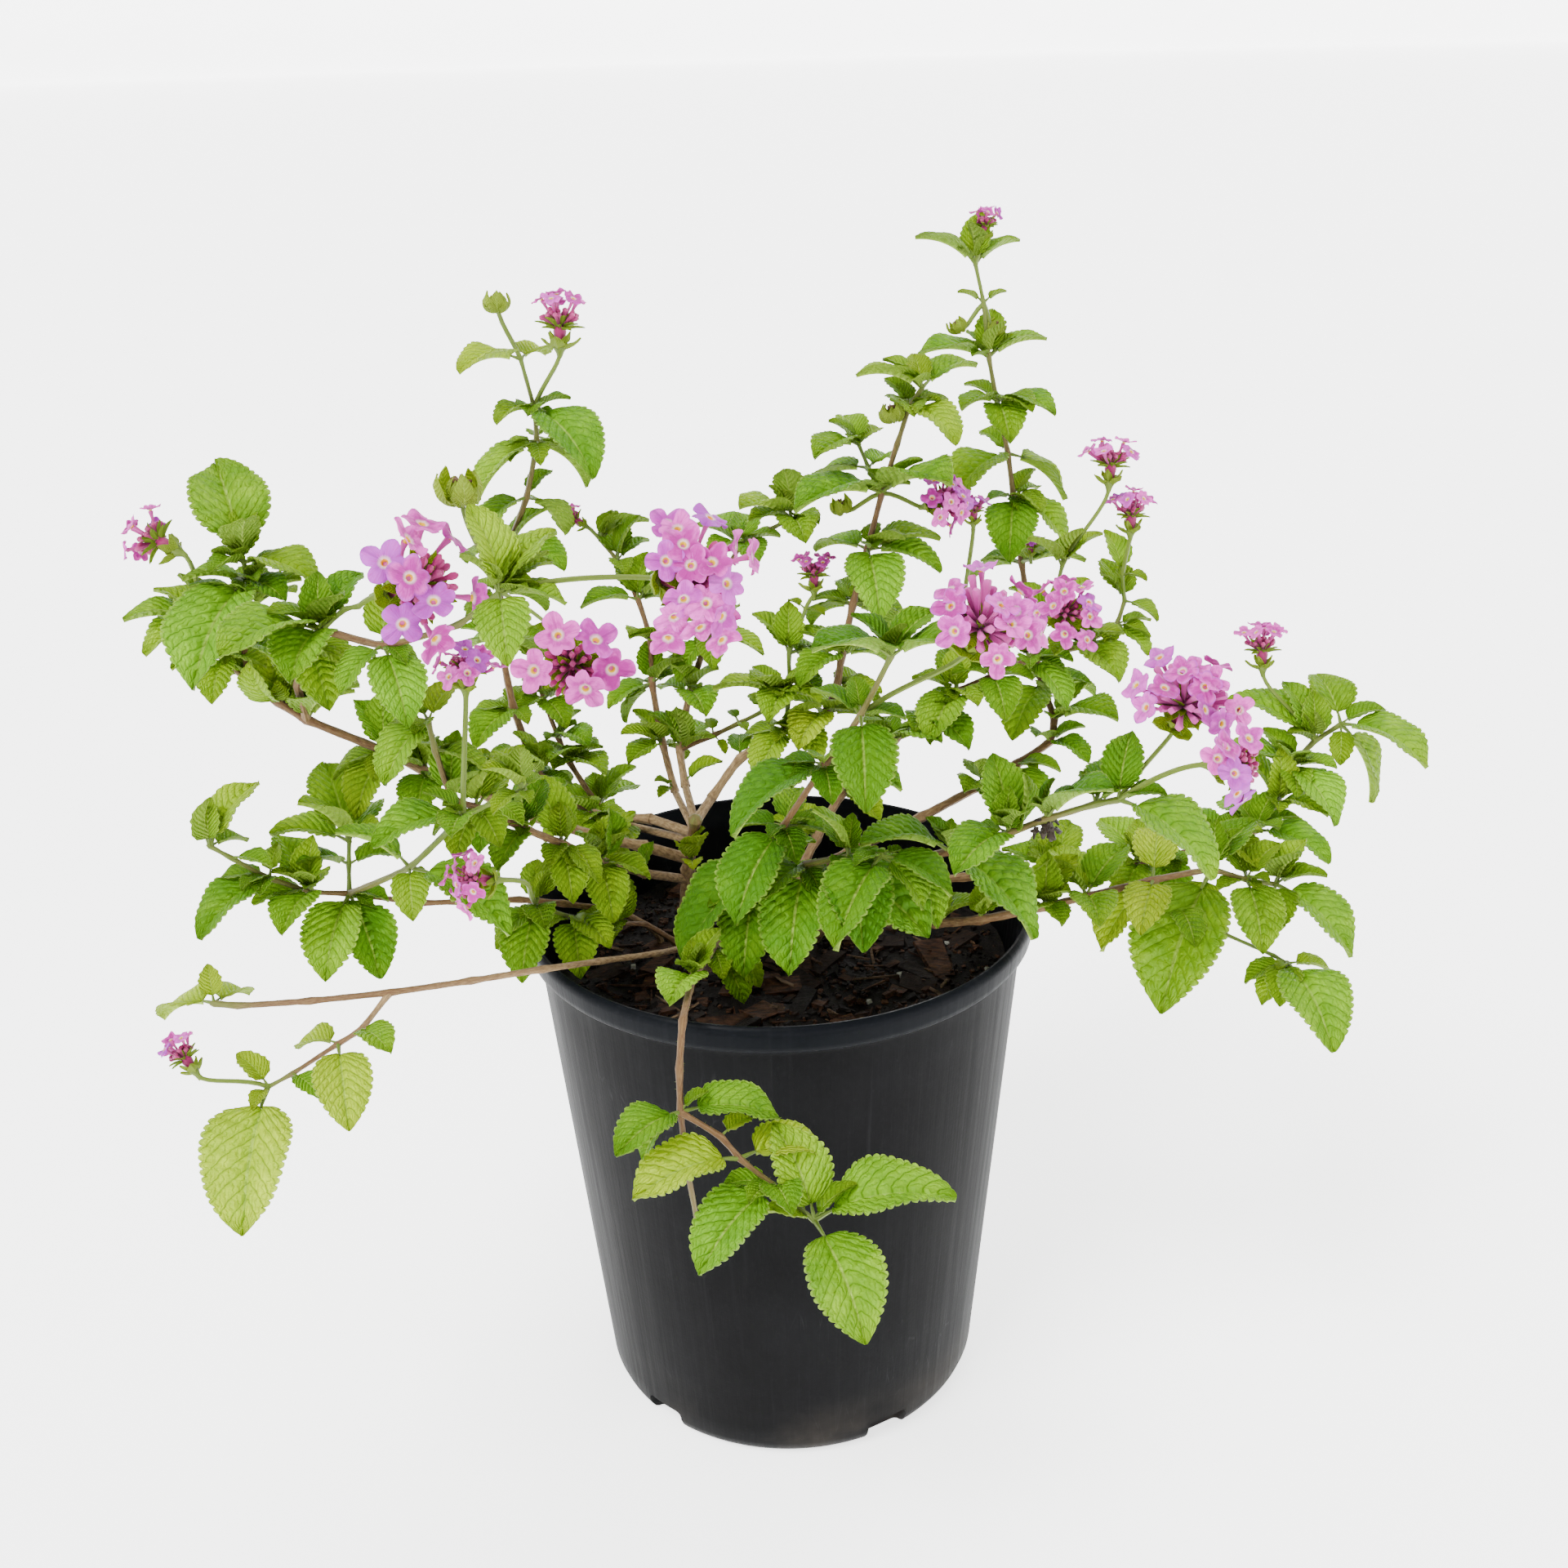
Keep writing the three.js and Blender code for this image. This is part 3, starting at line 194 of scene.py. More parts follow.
BUD_SHADES = ((0.14, 0.005, 0.04), (0.36, 0.018, 0.14))
TUBE_AGED = (0.35, 0.08, 0.2)
POT_BLACK = ((0.0018, 0.0019, 0.0021), (0.0038, 0.004, 0.0044))
POT_STREAK = (0.01, 0.01, 0.011)
POT_DIRT = (0.04, 0.033, 0.026)
POT_SCUFF = (0.04, 0.04, 0.042)
POT_LIP = (0.003, 0.004, 0.0056)
MIX_DARK = ((0.001, 0.0008, 0.0006), (0.007, 0.0048, 0.003))
MIX_CHIP = ((0.014, 0.006, 0.0028), (0.075, 0.032, 0.013))
MIX_FIBRE = ((0.05, 0.032, 0.017), (0.15, 0.1, 0.055))
MIX_STONE = ((0.2, 0.2, 0.17), (0.35, 0.35, 0.3))
MIX_DAMP = (0.004, 0.0027, 0.002)
FLOOR = ((0.93, 0.93, 0.93), (0.95, 0.95, 0.95))

# The floor and its round wall, in metres.
FLOOR_REACH = 20
FLOOR_SWEEP = 0.6
FLOOR_WALL = 5.5
FLOOR_SIDES = 96

# Lights. A sun is its strength, the direction it shines from and its width in degrees.
SKY = 1.4
KEY = (4.7, (-0.45, -0.5, 1), 24)
RIM = (2.2, (0.4, 0.9, 0.8), 40)
FLOOR_GLOW = 2.0
POT_SHINE = 0.03

# The camera, where the plant was seen from.
CAMERA_AT = (0, -0.520, 0.445)
CAMERA_PITCH = math.radians(23.55)
CAMERA_YAW = math.radians(0.30)
CAMERA_ROLL = math.radians(-1.65)
CAMERA_LENS = 40.67

rng = np.random.default_rng(20)

# Each shoot: name, solid, radius at its foot and tip, how woody it is, its leaf joints from the
# foot up, and its leaves as [joint, heading, rise, length]. Heading turns from +X towards +Y, in
# degrees.
SHOOTS = [
    ["trunk", "crown", 3.5, 3.1, 1,
     [[-34, 33, 147], [-31, 26, 176], [-27, 15, 200]],
     []],
    ["tall_left", "stem_tall_left", 2.1, 0.8, 0.55,
     [[-28, 19, 193], [-43, 36, 191], [-64, 48, 188], [-83, 55, 200], [-91, 62, 223],
      [-94, 66, 246], [-93, 68, 264], [-89, 68, 279], [-81, 68, 297], [-76, 68, 316],
      [-76, 68, 327], [-79, 68, 343]],
     [[2, -75, -20, 25], [2, 165, -10, 23], [3, -130, 35, 26], [3, 65, -30, 20],
      [4, -120, -15, 24], [4, 140, -25, 23], [5, 135, -20, 23], [5, 55, -30, 23],
      [6, 130, -45, 23], [6, 45, -30, 23], [7, -40, -5, 28], [7, 140, -20, 24], [8, -135, -25, 24],
      [8, 50, -45, 24], [8, 45, 30, 14], [9, -145, -35, 30], [9, 40, -45, 27], [10, -50, -30, 37],
      [10, -125, -5, 19], [11, -130, 0, 27], [11, 70, -5, 19]]],
    ["back_left", "stem_back_left", 1.7, 0.9, 0.7,
     [[-29, 20, 190], [-51, 52, 181], [-64, 64, 184], [-74, 70, 199], [-78, 76, 206],
      [-83, 82, 219], [-86, 86, 231]],
     [[1, -105, -15, 26], [2, -140, -15, 25], [2, 60, -5, 24], [3, -100, 25, 25], [3, -50, 5, 23],
      [4, -55, 10, 23], [5, -60, -15, 20], [5, 155, -20, 20], [6, 105, 20, 23], [6, 50, 5, 23]]],
    ["back_pale", "stem_back_pale", 1.6, 0.8, 0.6,
     [[-28, 17, 196], [-35, 45, 197], [-39, 55, 211], [-42, 62, 231], [-42, 68, 245],
      [-46, 74, 258], [-53, 82, 270], [-59, 88, 276]],
     [[1, -145, 30, 9], [1, -125, -5, 9], [2, -130, -5, 18], [2, -155, 25, 17], [2, 45, -40, 14],
      [3, 175, -55, 18], [3, 30, 5, 17], [4, -55, -5, 16], [4, -120, 20, 14], [5, -160, 0, 21],
      [5, 110, 20, 18], [5, 40, -15, 16], [6, 45, 15, 16], [6, -75, -5, 14], [7, 20, 15, 19]]],
    ["back_mid", "stem_back_mid", 1.7, 0.8, 0.6,
     [[-27, 16, 198], [-31, 40, 201], [-33, 52, 210], [-29, 60, 228], [-22, 64, 247],
      [-16, 66, 267], [-9, 66, 279], [8, 64, 288]],
     [[1, 10, 25, 15], [2, 65, 5, 21], [2, -170, 55, 18], [2, -20, 25, 15], [3, -75, 0, 24],
      [3, 130, -10, 18], [4, -15, -15, 21], [4, -140, -45, 19], [5, 125, 5, 20], [6, 125, 10, 24],
      [6, -75, -5, 20], [7, -135, 20, 26], [7, -80, -5, 24]]],
    ["back_mid_twig", "stem_back_mid", 1.1, 0.7, 0.3,
     [[-33, 52, 210], [-21, 52, 215], [-12, 50, 220], [-4, 50, 224], [2, 48, 231]],
     [[1, 100, 20, 9], [1, -45, -45, 8], [2, -70, 0, 8], [2, 115, 15, 8], [4, -170, 10, 23],
      [4, -45, 5, 20], [3, 115, 20, 10]]],
    ["tall_mid", "stem_tall_mid", 2.1, 0.8, 0.7,
     [[-27, 15, 199], [-22, 32, 200], [-12, 42, 210], [4, 50, 217], [18, 52, 222], [22, 52, 231],
      [24, 52, 243], [28, 52, 261], [33, 52, 280], [38, 52, 299], [43, 52, 315], [47, 52, 327],
      [51, 52, 333]],
     [[2, 90, 15, 14], [3, -60, -10, 24], [3, -120, -30, 23], [4, -115, -10, 25], [4, 15, -20, 24],
      [5, 30, -30, 20], [6, -130, -10, 24], [6, 40, -20, 24], [7, 40, -40, 24], [7, 135, -30, 23],
      [8, -85, -30, 32], [8, 5, 5, 25], [8, -15, -15, 26], [8, 140, -10, 23], [9, -145, 0, 36],
      [9, -55, 15, 36], [11, -55, -20, 25], [11, 90, -15, 23], [12, -160, 15, 24],
      [12, 35, 10, 24], [12, 100, 40, 14]]],
    ["tall_mid_side", "stem_tall_mid", 0.9, 0.7, 0.1,
     [[38, 52, 299], [34, 58, 306], [31, 62, 313]],
     [[1, 155, -20, 23], [1, 60, 0, 17], [2, -130, 0, 24], [2, 105, 20, 18], [2, 55, 10, 14]]],
    ["tall_mid_f13", "stem_tall_mid", 1.1, 0.7, 0.1,
     [[4, 50, 217], [6, 52, 233], [6, 52, 244], [12, 54, 259]],
     [[1, -110, -15, 23], [1, -55, 10, 18], [2, 45, -15, 20], [2, 125, 35, 18], [3, -45, 0, 9],
      [3, 140, 15, 8]]],
    ["tallest", "stem_tallest", 2.3, 0.8, 0.55,
     [[2, 33, 146], [3, 29, 160], [4, 29, 169], [25, 32, 178], [51, 46, 184], [73, 56, 191],
      [86, 62, 196], [99, 68, 202], [101, 72, 209], [97, 78, 221], [93, 84, 243], [90, 88, 263],
      [87, 92, 286], [85, 94, 301], [81, 96, 319], [78, 97, 334], [76, 98, 352], [73, 98, 365]],
     [[5, -60, 0, 20], [5, -70, -15, 20], [6, -60, -35, 20], [7, -55, -5, 20], [8, -50, 15, 30],
      [9, -120, -25, 30], [9, 20, -20, 24], [11, 145, -25, 23], [11, 0, 0, 23],
      [12, -100, -35, 30], [12, -25, -40, 26], [12, 40, 35, 14], [13, -135, -20, 33],
      [13, 5, -40, 30], [13, 125, 20, 23], [14, -85, -25, 24], [14, -40, -5, 24],
      [14, 145, 20, 14], [15, 5, 15, 27], [15, -175, 5, 25], [16, -180, 25, 10], [16, 10, 25, 9],
      [17, -175, 25, 23], [17, 10, 25, 18]]],
    ["right_back", "stem_right_back", 2.2, 0.8, 0.65,
     [[-3, 24, 146], [0, 21, 160], [5, 17, 173], [13, 22, 188], [23, 32, 201], [41, 42, 215],
      [52, 46, 223], [63, 50, 229], [76, 54, 233], [89, 56, 238], [105, 58, 241], [119, 60, 248],
      [122, 62, 256]],
     [[3, 145, 20, 16], [4, -45, -20, 18], [5, -50, 15, 24], [5, 135, 0, 16], [6, -55, -15, 24],
      [7, -115, -20, 28], [7, 95, 30, 20], [8, -85, -20, 24], [8, 110, 10, 24], [9, -55, -35, 23],
      [9, 110, 15, 23], [10, -70, -5, 30], [10, 65, 40, 20], [11, -45, -30, 16], [12, 110, 30, 20],
      [12, -40, -20, 14]]],
    ["right_back_f9", "stem_right_back", 0.9, 0.7, 0.1,
     [[89, 56, 238], [96, 60, 253], [100, 62, 269]],
     [[1, 15, 35, 18], [1, 140, 20, 18], [2, -160, 40, 18], [2, 15, 35, 18]]],
    ["right_back_up", "stem_right_back", 0.8, 0.6, 0,
     [[122, 62, 256], [121, 63, 265]],
     [[1, 125, 55, 17], [1, -45, 0, 10]]],
    ["right_back_f12", "stem_right_back", 0.8, 0.6, 0,
     [[63, 50, 229], [65, 54, 245], [66, 56, 260]],
     [[1, 130, 5, 16], [1, 35, 5, 16]]],
    ["front_mid", "stem_front_mid", 1.7, 1.0, 0.7,
     [[-4, 14, 146], [-2, 12, 162], [1, 13, 176], [-2, -12, 197], [2, -40, 222], [14, -58, 249],
      [24, -66, 267], [32, -72, 286]],
     [[3, -145, -35, 43], [3, 35, 5, 18], [4, -125, -40, 34], [4, 10, -25, 24], [5, -150, -25, 34],
      [5, -25, -10, 24], [6, -90, -40, 30], [6, 155, 20, 16], [6, -30, 5, 14], [6, 100, 45, 12],
      [7, -150, 15, 26], [7, -30, 15, 24], [7, 30, 35, 18], [7, -50, 60, 12]]],
    ["front_low", "stem_front_low", 1.4, 1.0, 0.5,
     [[-9, 7, 146], [-7, 6, 160], [-1, 5, 176], [-8, -18, 189], [0, -30, 197], [8, -42, 210],
      [21, -52, 217], [30, -58, 220]],
     [[3, -100, -40, 29], [3, -90, -50, 16], [4, -85, -15, 16], [5, -30, -20, 44],
      [5, -105, -50, 34], [6, -85, -30, 33], [6, 115, 25, 16], [7, -120, -30, 34],
      [7, -30, -20, 24], [7, -35, -45, 20], [7, -135, 5, 12], [7, 30, -5, 8]]],
    ["front_right", "stem_front_right", 1.7, 1.0, 0.6,
     [[6, 4, 146], [5, 6, 160], [3, 4, 178], [17, -16, 193], [37, -34, 206], [51, -46, 215],
      [67, -56, 225], [77, -62, 232], [90, -66, 238], [96, -68, 240]],
     [[4, -55, -40, 24], [5, -45, -30, 37], [5, -160, 15, 30], [5, 80, 55, 10], [6, -130, -5, 28],
      [6, 105, 55, 24], [7, -45, 35, 27], [7, -140, 45, 10], [8, 60, 15, 20], [9, -45, -25, 35],
      [9, 65, 55, 20], [9, -25, 15, 14]]],
    ["right_low", "stem_right_low", 2.1, 0.9, 0.7,
     [[10, 14, 146], [13, 13, 157], [28, -10, 173], [50, -20, 177], [63, -28, 182], [83, -30, 187],
      [96, -28, 189], [118, -22, 191], [138, -16, 191], [150, -14, 186], [160, -12, 183]],
     [[3, 20, 25, 16], [4, 30, 35, 21], [5, 30, 50, 19], [5, -80, 5, 16], [6, -90, 5, 24],
      [6, 110, 15, 24], [6, 40, 30, 23], [7, -150, -45, 28], [7, -110, -20, 24], [7, 75, 20, 24],
      [8, -125, -45, 50], [8, -125, -60, 28], [8, 35, 30, 23], [9, -90, -30, 28], [9, 80, -5, 23],
      [10, -45, -30, 33], [10, -105, -20, 23], [10, 30, 45, 18], [10, -25, 20, 17]]],
    ["right_low_twig", "stem_right_low", 0.9, 0.6, 0.2,
     [[118, -22, 191], [126, -26, 183], [139, -28, 175], [156, -30, 167], [160, -32, 165]],
     [[1, -85, -15, 18], [4, -80, -20, 36], [4, -140, -40, 16], [4, -5, -10, 14]]],
    ["right_high", "stem_right_high", 1.9, 0.9, 0.6,
     [[12, 28, 146], [15, 28, 158], [35, 14, 173], [61, 2, 182], [89, -6, 186], [118, -2, 187],
      [126, 2, 187], [147, 8, 188], [160, 14, 190], [168, 20, 197], [174, 26, 208], [182, 30, 215],
      [191, 32, 220]],
     [[4, 65, 25, 23], [4, 140, 10, 20], [5, 115, 15, 24], [5, -115, -10, 23], [6, -90, -25, 24],
      [7, -75, 5, 24], [7, 125, 10, 23], [8, -40, -10, 27], [8, 105, 5, 23], [9, 150, 45, 23],
      [9, -50, 5, 20], [10, -70, -25, 28], [10, -180, 10, 26], [11, 145, 15, 33],
      [11, 115, 40, 24], [12, -50, -10, 38], [12, -25, -65, 30], [12, 95, 20, 26], [12, 5, 15, 16],
      [12, -100, -60, 14]]],
    ["left_front", "stem_left_front", 1.9, 0.9, 0.7,
     [[-32, 27, 172], [-44, 8, 184], [-57, -8, 197], [-67, -20, 209], [-76, -32, 220],
      [-88, -44, 233], [-94, -48, 238], [-97, -50, 254], [-98, -50, 263]],
     [[1, 50, 55, 11], [2, -75, -35, 23], [2, 45, 35, 20], [2, -135, 55, 16], [3, 130, 50, 24],
      [3, -75, -45, 20], [4, -110, -15, 20], [4, 70, 35, 18], [5, 40, 20, 20], [5, -110, -35, 18],
      [6, 40, 30, 18], [7, 50, -40, 16], [8, -120, -30, 24], [8, 120, 5, 18], [8, 60, 25, 16]]],
    ["left_far", "stem_left_far", 2.3, 1.1, 0.85,
     [[-30, 24, 181], [-44, 16, 190], [-59, 12, 196], [-79, 6, 207], [-90, 2, 215],
      [-110, -4, 228], [-121, -8, 237], [-143, -12, 250], [-151, -12, 256], [-159, -12, 263],
      [-165, -12, 271], [-168, -12, 281]],
     [[3, 55, 20, 18], [4, -105, -35, 20], [4, 50, 45, 20], [5, 150, 45, 24], [5, -90, -20, 23],
      [6, -120, -45, 23], [6, 150, 55, 19], [7, -55, 30, 23], [7, 55, 10, 23], [8, 70, 30, 23],
      [8, 105, 80, 20], [9, 95, 25, 18], [9, 145, 5, 18], [10, -90, -25, 20], [10, -155, 30, 20],
      [11, 60, 20, 18], [11, -150, 15, 25], [11, -125, -5, 24]]],
    ["left_far_up", "stem_left_far", 1.0, 0.7, 0.4,
     [[-159, -12, 263], [-158, -14, 275], [-154, -16, 287], [-153, -17, 296], [-153, -18, 302]],
     [[1, -40, -5, 23], [2, -100, -15, 24], [2, 60, 0, 20], [3, -40, -10, 18], [4, -25, -10, 27],
      [4, 115, 40, 37], [3, -105, -30, 42], [4, -110, 5, 16]]],
    ["left_mid", "stem_left_far", 1.5, 1.0, 0.5,
     [[-143, -12, 250], [-142, -20, 264], [-135, -30, 280], [-128, -38, 287], [-108, -50, 286],
      [-84, -64, 296], [-71, -72, 307]],
     [[2, -65, -30, 26], [3, -125, 5, 36], [3, -95, -10, 30], [3, 60, 30, 23], [3, -40, 45, 18],
      [3, 90, 70, 17], [4, -65, -45, 26], [4, 75, 60, 18], [6, -80, -35, 24], [6, 150, 70, 24],
      [6, 45, 30, 24], [6, -5, -10, 18], [6, 40, 15, 18], [6, -145, 50, 16]]],
    ["left_f1", "stem_left_far", 0.9, 0.8, 0.1,
     [[-128, -38, 287], [-119, -44, 295], [-114, -48, 297]],
     []],
    ["left_low", "stem_left_low", 1.5, 0.8, 0.6,
     [[-40, 19, 146], [-42, 15, 158], [-53, 6, 171], [-70, -8, 182], [-83, -14, 187],
      [-101, -20, 190], [-112, -24, 192], [-132, -32, 200], [-142, -36, 203], [-153, -40, 210],
      [-162, -44, 219], [-167, -46, 224]],
     [[5, 80, 15, 14], [6, 95, 50, 12], [7, -100, -35, 30], [7, -55, -55, 28], [7, -50, -65, 16],
      [8, -100, -5, 24], [8, 130, 30, 24], [9, -130, -20, 28], [9, 80, 40, 12], [10, -20, -5, 14],
      [11, 50, 35, 24], [11, 55, -15, 14]]],
    ["left_low_tuft", "stem_left_low", 0.9, 0.7, 0.1,
     [[-132, -32, 200], [-132, -28, 208], [-132, -24, 214]],
     [[1, -140, 20, 18], [1, 35, -5, 16], [2, 115, 35, 30], [2, 80, 5, 24], [2, -135, 50, 24],
      [2, -175, 10, 24], [2, -30, 30, 16]]],
    ["left_low_up", "stem_left_low", 1.2, 0.8, 0.2,
     [[-132, -32, 200], [-108, -52, 218], [-88, -66, 240], [-78, -72, 247], [-69, -76, 252]],
     [[1, -20, -30, 36], [1, -170, 35, 24], [1, -80, -35, 18], [2, -150, -5, 27],
      [3, -40, -20, 12], [4, -140, 40, 16], [4, -130, -15, 12], [4, 65, 0, 10], [4, -70, -5, 8]]],
    ["left_rim", "stem_left_rim", 1.4, 0.7, 0.4,
     [[-31, 12, 146], [-36, 10, 157], [-45, 6, 166], [-54, -6, 173], [-66, -18, 182],
      [-76, -26, 191]],
     [[3, -160, 70, 24], [3, -125, -10, 16], [4, -80, -30, 23], [5, -100, -40, 26],
      [5, 55, 30, 18], [5, -110, -5, 10]]],
    ["left_long", "stem_left_long", 1.3, 1.1, 0.9,
     [[-25, 13, 146], [-28, 8, 156], [-40, -18, 168], [-56, -38, 177], [-71, -58, 186],
      [-92, -60, 184], [-116, -62, 182], [-140, -62, 180], [-162, -60, 178], [-169, -60, 179]],
     [[9, 155, -25, 24], [9, 70, -20, 18], [9, 110, 60, 12]]],
    ["left_long_drop", "stem_left_long", 1.1, 0.7, 0.6,
     [[-116, -62, 182], [-125, -66, 172], [-132, -67, 168], [-146, -70, 160], [-153, -72, 157]],
     [[1, -50, 0, 18], [2, -75, -35, 28], [3, -40, -15, 14], [2, 150, -20, 18], [4, -95, -40, 44],
      [4, 150, 35, 14], [4, -105, -10, 10]]],
    ["front_hang", "stem_front_hang", 1.7, 0.9, 0.85,
     [[-13, -4, 146], [-13, -4, 162], [-13, -6, 178], [-21, -30, 176], [-26, -62, 184],
      [-28, -92, 187], [-29, -102, 178], [-29, -107, 167], [-28, -108, 149], [-26, -107, 129]],
     [[3, -50, -45, 20], [4, -105, 10, 24], [4, 50, 40, 17], [7, 5, -10, 28], [7, -135, -5, 24],
      [7, -165, -50, 18], [7, 10, 35, 10]]],
    ["front_hang_side", "stem_front_hang", 1.1, 0.9, 0.4,
     [[-29, -107, 167], [-18, -112, 162], [-13, -114, 156], [-4, -117, 149], [7, -120, 139]],
     [[1, 45, 0, 12], [2, -155, -5, 32], [2, 25, -15, 28], [3, -135, -25, 32], [4, -5, 12, 40],
      [4, -65, -35, 36], [4, 125, 50, 29], [4, 10, 40, 16], [4, -175, 15, 16]]],
]

# Each flower head: name, the shoot and joint it grows from, the foot of its cup, heading and rise
# of its axis, its width, a floret's radius, and its rings of florets as [count, tilt, turn].
HEADS = [
    ["bloom_left_upper", "left_f1", 2, [-102, -58, 304], -35, 15, 42, 5.8,
     [[1, 55, 65], [1, 65, 40], [1, 45, 20], [1, 30, -20], [1, 65, -25], [1, 55, -65],
      [1, 70, 100], [1, 70, 145], [1, 70, -155]]],
    ["bloom_left_lower", "left_low_up", 2, [-86, -52, 274], 0, 85, 21, 4.0,
     [[1, 80, -60], [1, 70, -100], [1, 20, -95], [1, 50, -130], [1, 20, 50], [1, 75, 10],
      [1, 75, 60], [1, 75, 120], [1, 75, 170]]],
    ["bloom_centre_left", "left_mid", 6, [-28, -67, 308], -35, 5, 42, 5.8,
     [[1, 65, 55], [1, 70, 35], [1, 50, 30], [1, 35, 50], [1, 20, 20], [1, 90, 70], [1, 75, 70],
      [1, 55, -5], [1, 40, -10], [1, 70, -20], [1, 85, -40], [1, 55, -40], [1, 35, -45],
      [1, 55, -90], [1, 75, 115], [1, 75, 165], [1, 80, -130], [1, 45, 160]]],
    ["bloom_facing", "tall_left", 6, [-62, 16, 256], -95, 12, 41, 6.2,
     [[1, 45, 80], [1, 55, 135], [1, 30, 5], [1, 55, 180], [1, 30, -140]]],
    ["bloom_centre_right", "front_mid", 6, [53, -74, 289], -60, 55, 37, 5.2,
     [[1, 55, 15], [1, 50, 45], [1, 60, -15], [1, 15, -60], [1, 35, -80], [1, 50, -105],
      [1, 70, -70], [1, 25, -100], [1, 60, 105], [1, 65, 160], [1, 65, -145]]],
    ["bloom_right_back", "right_back", 9, [98, 44, 255], -90, 50, 28, 5.0,
     [[1, 70, 45], [1, 35, -25], [1, 15, 50], [1, 65, -15], [1, 35, 140], [1, 35, -165],
      [1, 50, -135], [1, 95, -125], [1, 70, 90], [1, 70, -80]]],
    ["bloom_right_front", "front_right", 9, [112, -64, 261], -80, 60, 36, 5.1,
     [[1, 70, 20], [1, 70, -15], [1, 35, -10], [1, 15, 15], [1, 5, 65], [1, 20, -95],
      [1, 20, -140], [1, 45, -90], [1, 60, -110], [1, 65, -150], [1, 85, -150], [1, 70, 75],
      [1, 65, 140]]],
    ["bloom_right_low", "front_right", 9, [117, -87, 258], -30, 10, 26, 5.0,
     [[1, 95, 30], [1, 70, 10], [1, 85, 45], [1, 55, 75], [1, 70, -30], [1, 75, -80]]],
    ["bloom_far_right", "right_high", 11, [166, 43, 238], 100, 75, 23, 3.6,
     [[1, 5, 0], [6, 38, 0]]],
    ["bloom_high_right", "right_back_f9", 2, [115, 63, 298], 70, 75, 24, 4.0,
     [[2, 22, 0], [5, 58, 10]]],
    ["bloom_high_right_low", "right_back_up", 1, [123, 63, 281], 80, 80, 22, 3.4,
     [[1, 0, 0], [6, 46, 0]]],
    ["bloom_back_centre", "tall_mid", 9, [53, 46, 296], -30, 20, 22, 4.0,
     [[1, 0, 0], [5, 38, 0], [7, 78, 20]]],
    ["bloom_back_small", "right_back_f12", 2, [69, 58, 287], 80, 80, 15, 2.6, [[5, 42, 0]]],
    ["bloom_centre_small", "tall_mid_f13", 3, [15, 53, 267], 90, 85, 20, 2.8, [[6, 42, 0]]],
    ["bloom_tallest_side", "tallest", 11, [92, 80, 269], 90, 80, 10, 2.0, [[4, 45, 0]]],
    ["bloom_top_right", "tallest", 17, [76, 98, 374], 60, 80, 16, 2.7, [[1, 0, 0], [4, 38, 0]]],
    ["bloom_top_left", "tall_left", 10, [-66, 69, 347], 70, 80, 27, 3.8, [[1, 8, 0], [5, 34, 0]]],
    ["bud_top_left", "tall_left", 11, [-85, 68, 360], 90, 80, 8, 0, []],
    ["bloom_back_left", "back_pale", 7, [-65, 91, 281], 175, 35, 14, 2.6, [[4, 45, 0]]],
    ["bloom_far_left", "left_far", 11, [-174, -13, 305], 165, 25, 25, 3.4,
     [[1, 0, 0], [5, 48, 0]]],
    ["bloom_hanging_left", "left_rim", 5, [-81, -70, 222], -150, 15, 22, 3.8,
     [[2, 25, 0], [6, 62, 0]]],
    ["bloom_low_left", "left_long_drop", 4, [-173, -75, 166], 150, 50, 18, 2.8,
     [[1, 0, 0], [4, 36, 0]]],
    ["seed_head", "left_mid", 6, [-84, -40, 325], 0, 90, 12, 0, []],
    ["bud_a", "tallest", 16, [68, 98, 344], 180, 60, 6, 0, []],
    ["bud_b", "tallest", 16, [80, 98, 343], 0, 60, 6, 0, []],
    ["bud_c", "tall_mid", 11, [42, 52, 324], 120, 70, 8, 0, []],
    ["bud_d", "tall_mid_side", 0, [25, 56, 293], 180, 70, 7, 0, []],
]

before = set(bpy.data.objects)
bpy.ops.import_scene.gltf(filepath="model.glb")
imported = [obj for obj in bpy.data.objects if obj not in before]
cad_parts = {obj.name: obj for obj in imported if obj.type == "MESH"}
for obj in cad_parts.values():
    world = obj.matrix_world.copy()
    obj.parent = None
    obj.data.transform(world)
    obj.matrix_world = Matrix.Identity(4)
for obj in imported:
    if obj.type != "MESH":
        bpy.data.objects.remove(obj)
cad_box = [[float(x) for x in corner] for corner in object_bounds()]


# ---------------------------------------------------------------- mesh helpers
def placed(name, data):
    """A new object in the scene that shows the data."""
    obj = bpy.data.objects.new(name, data)
    bpy.context.scene.collection.objects.link(obj)
    return obj


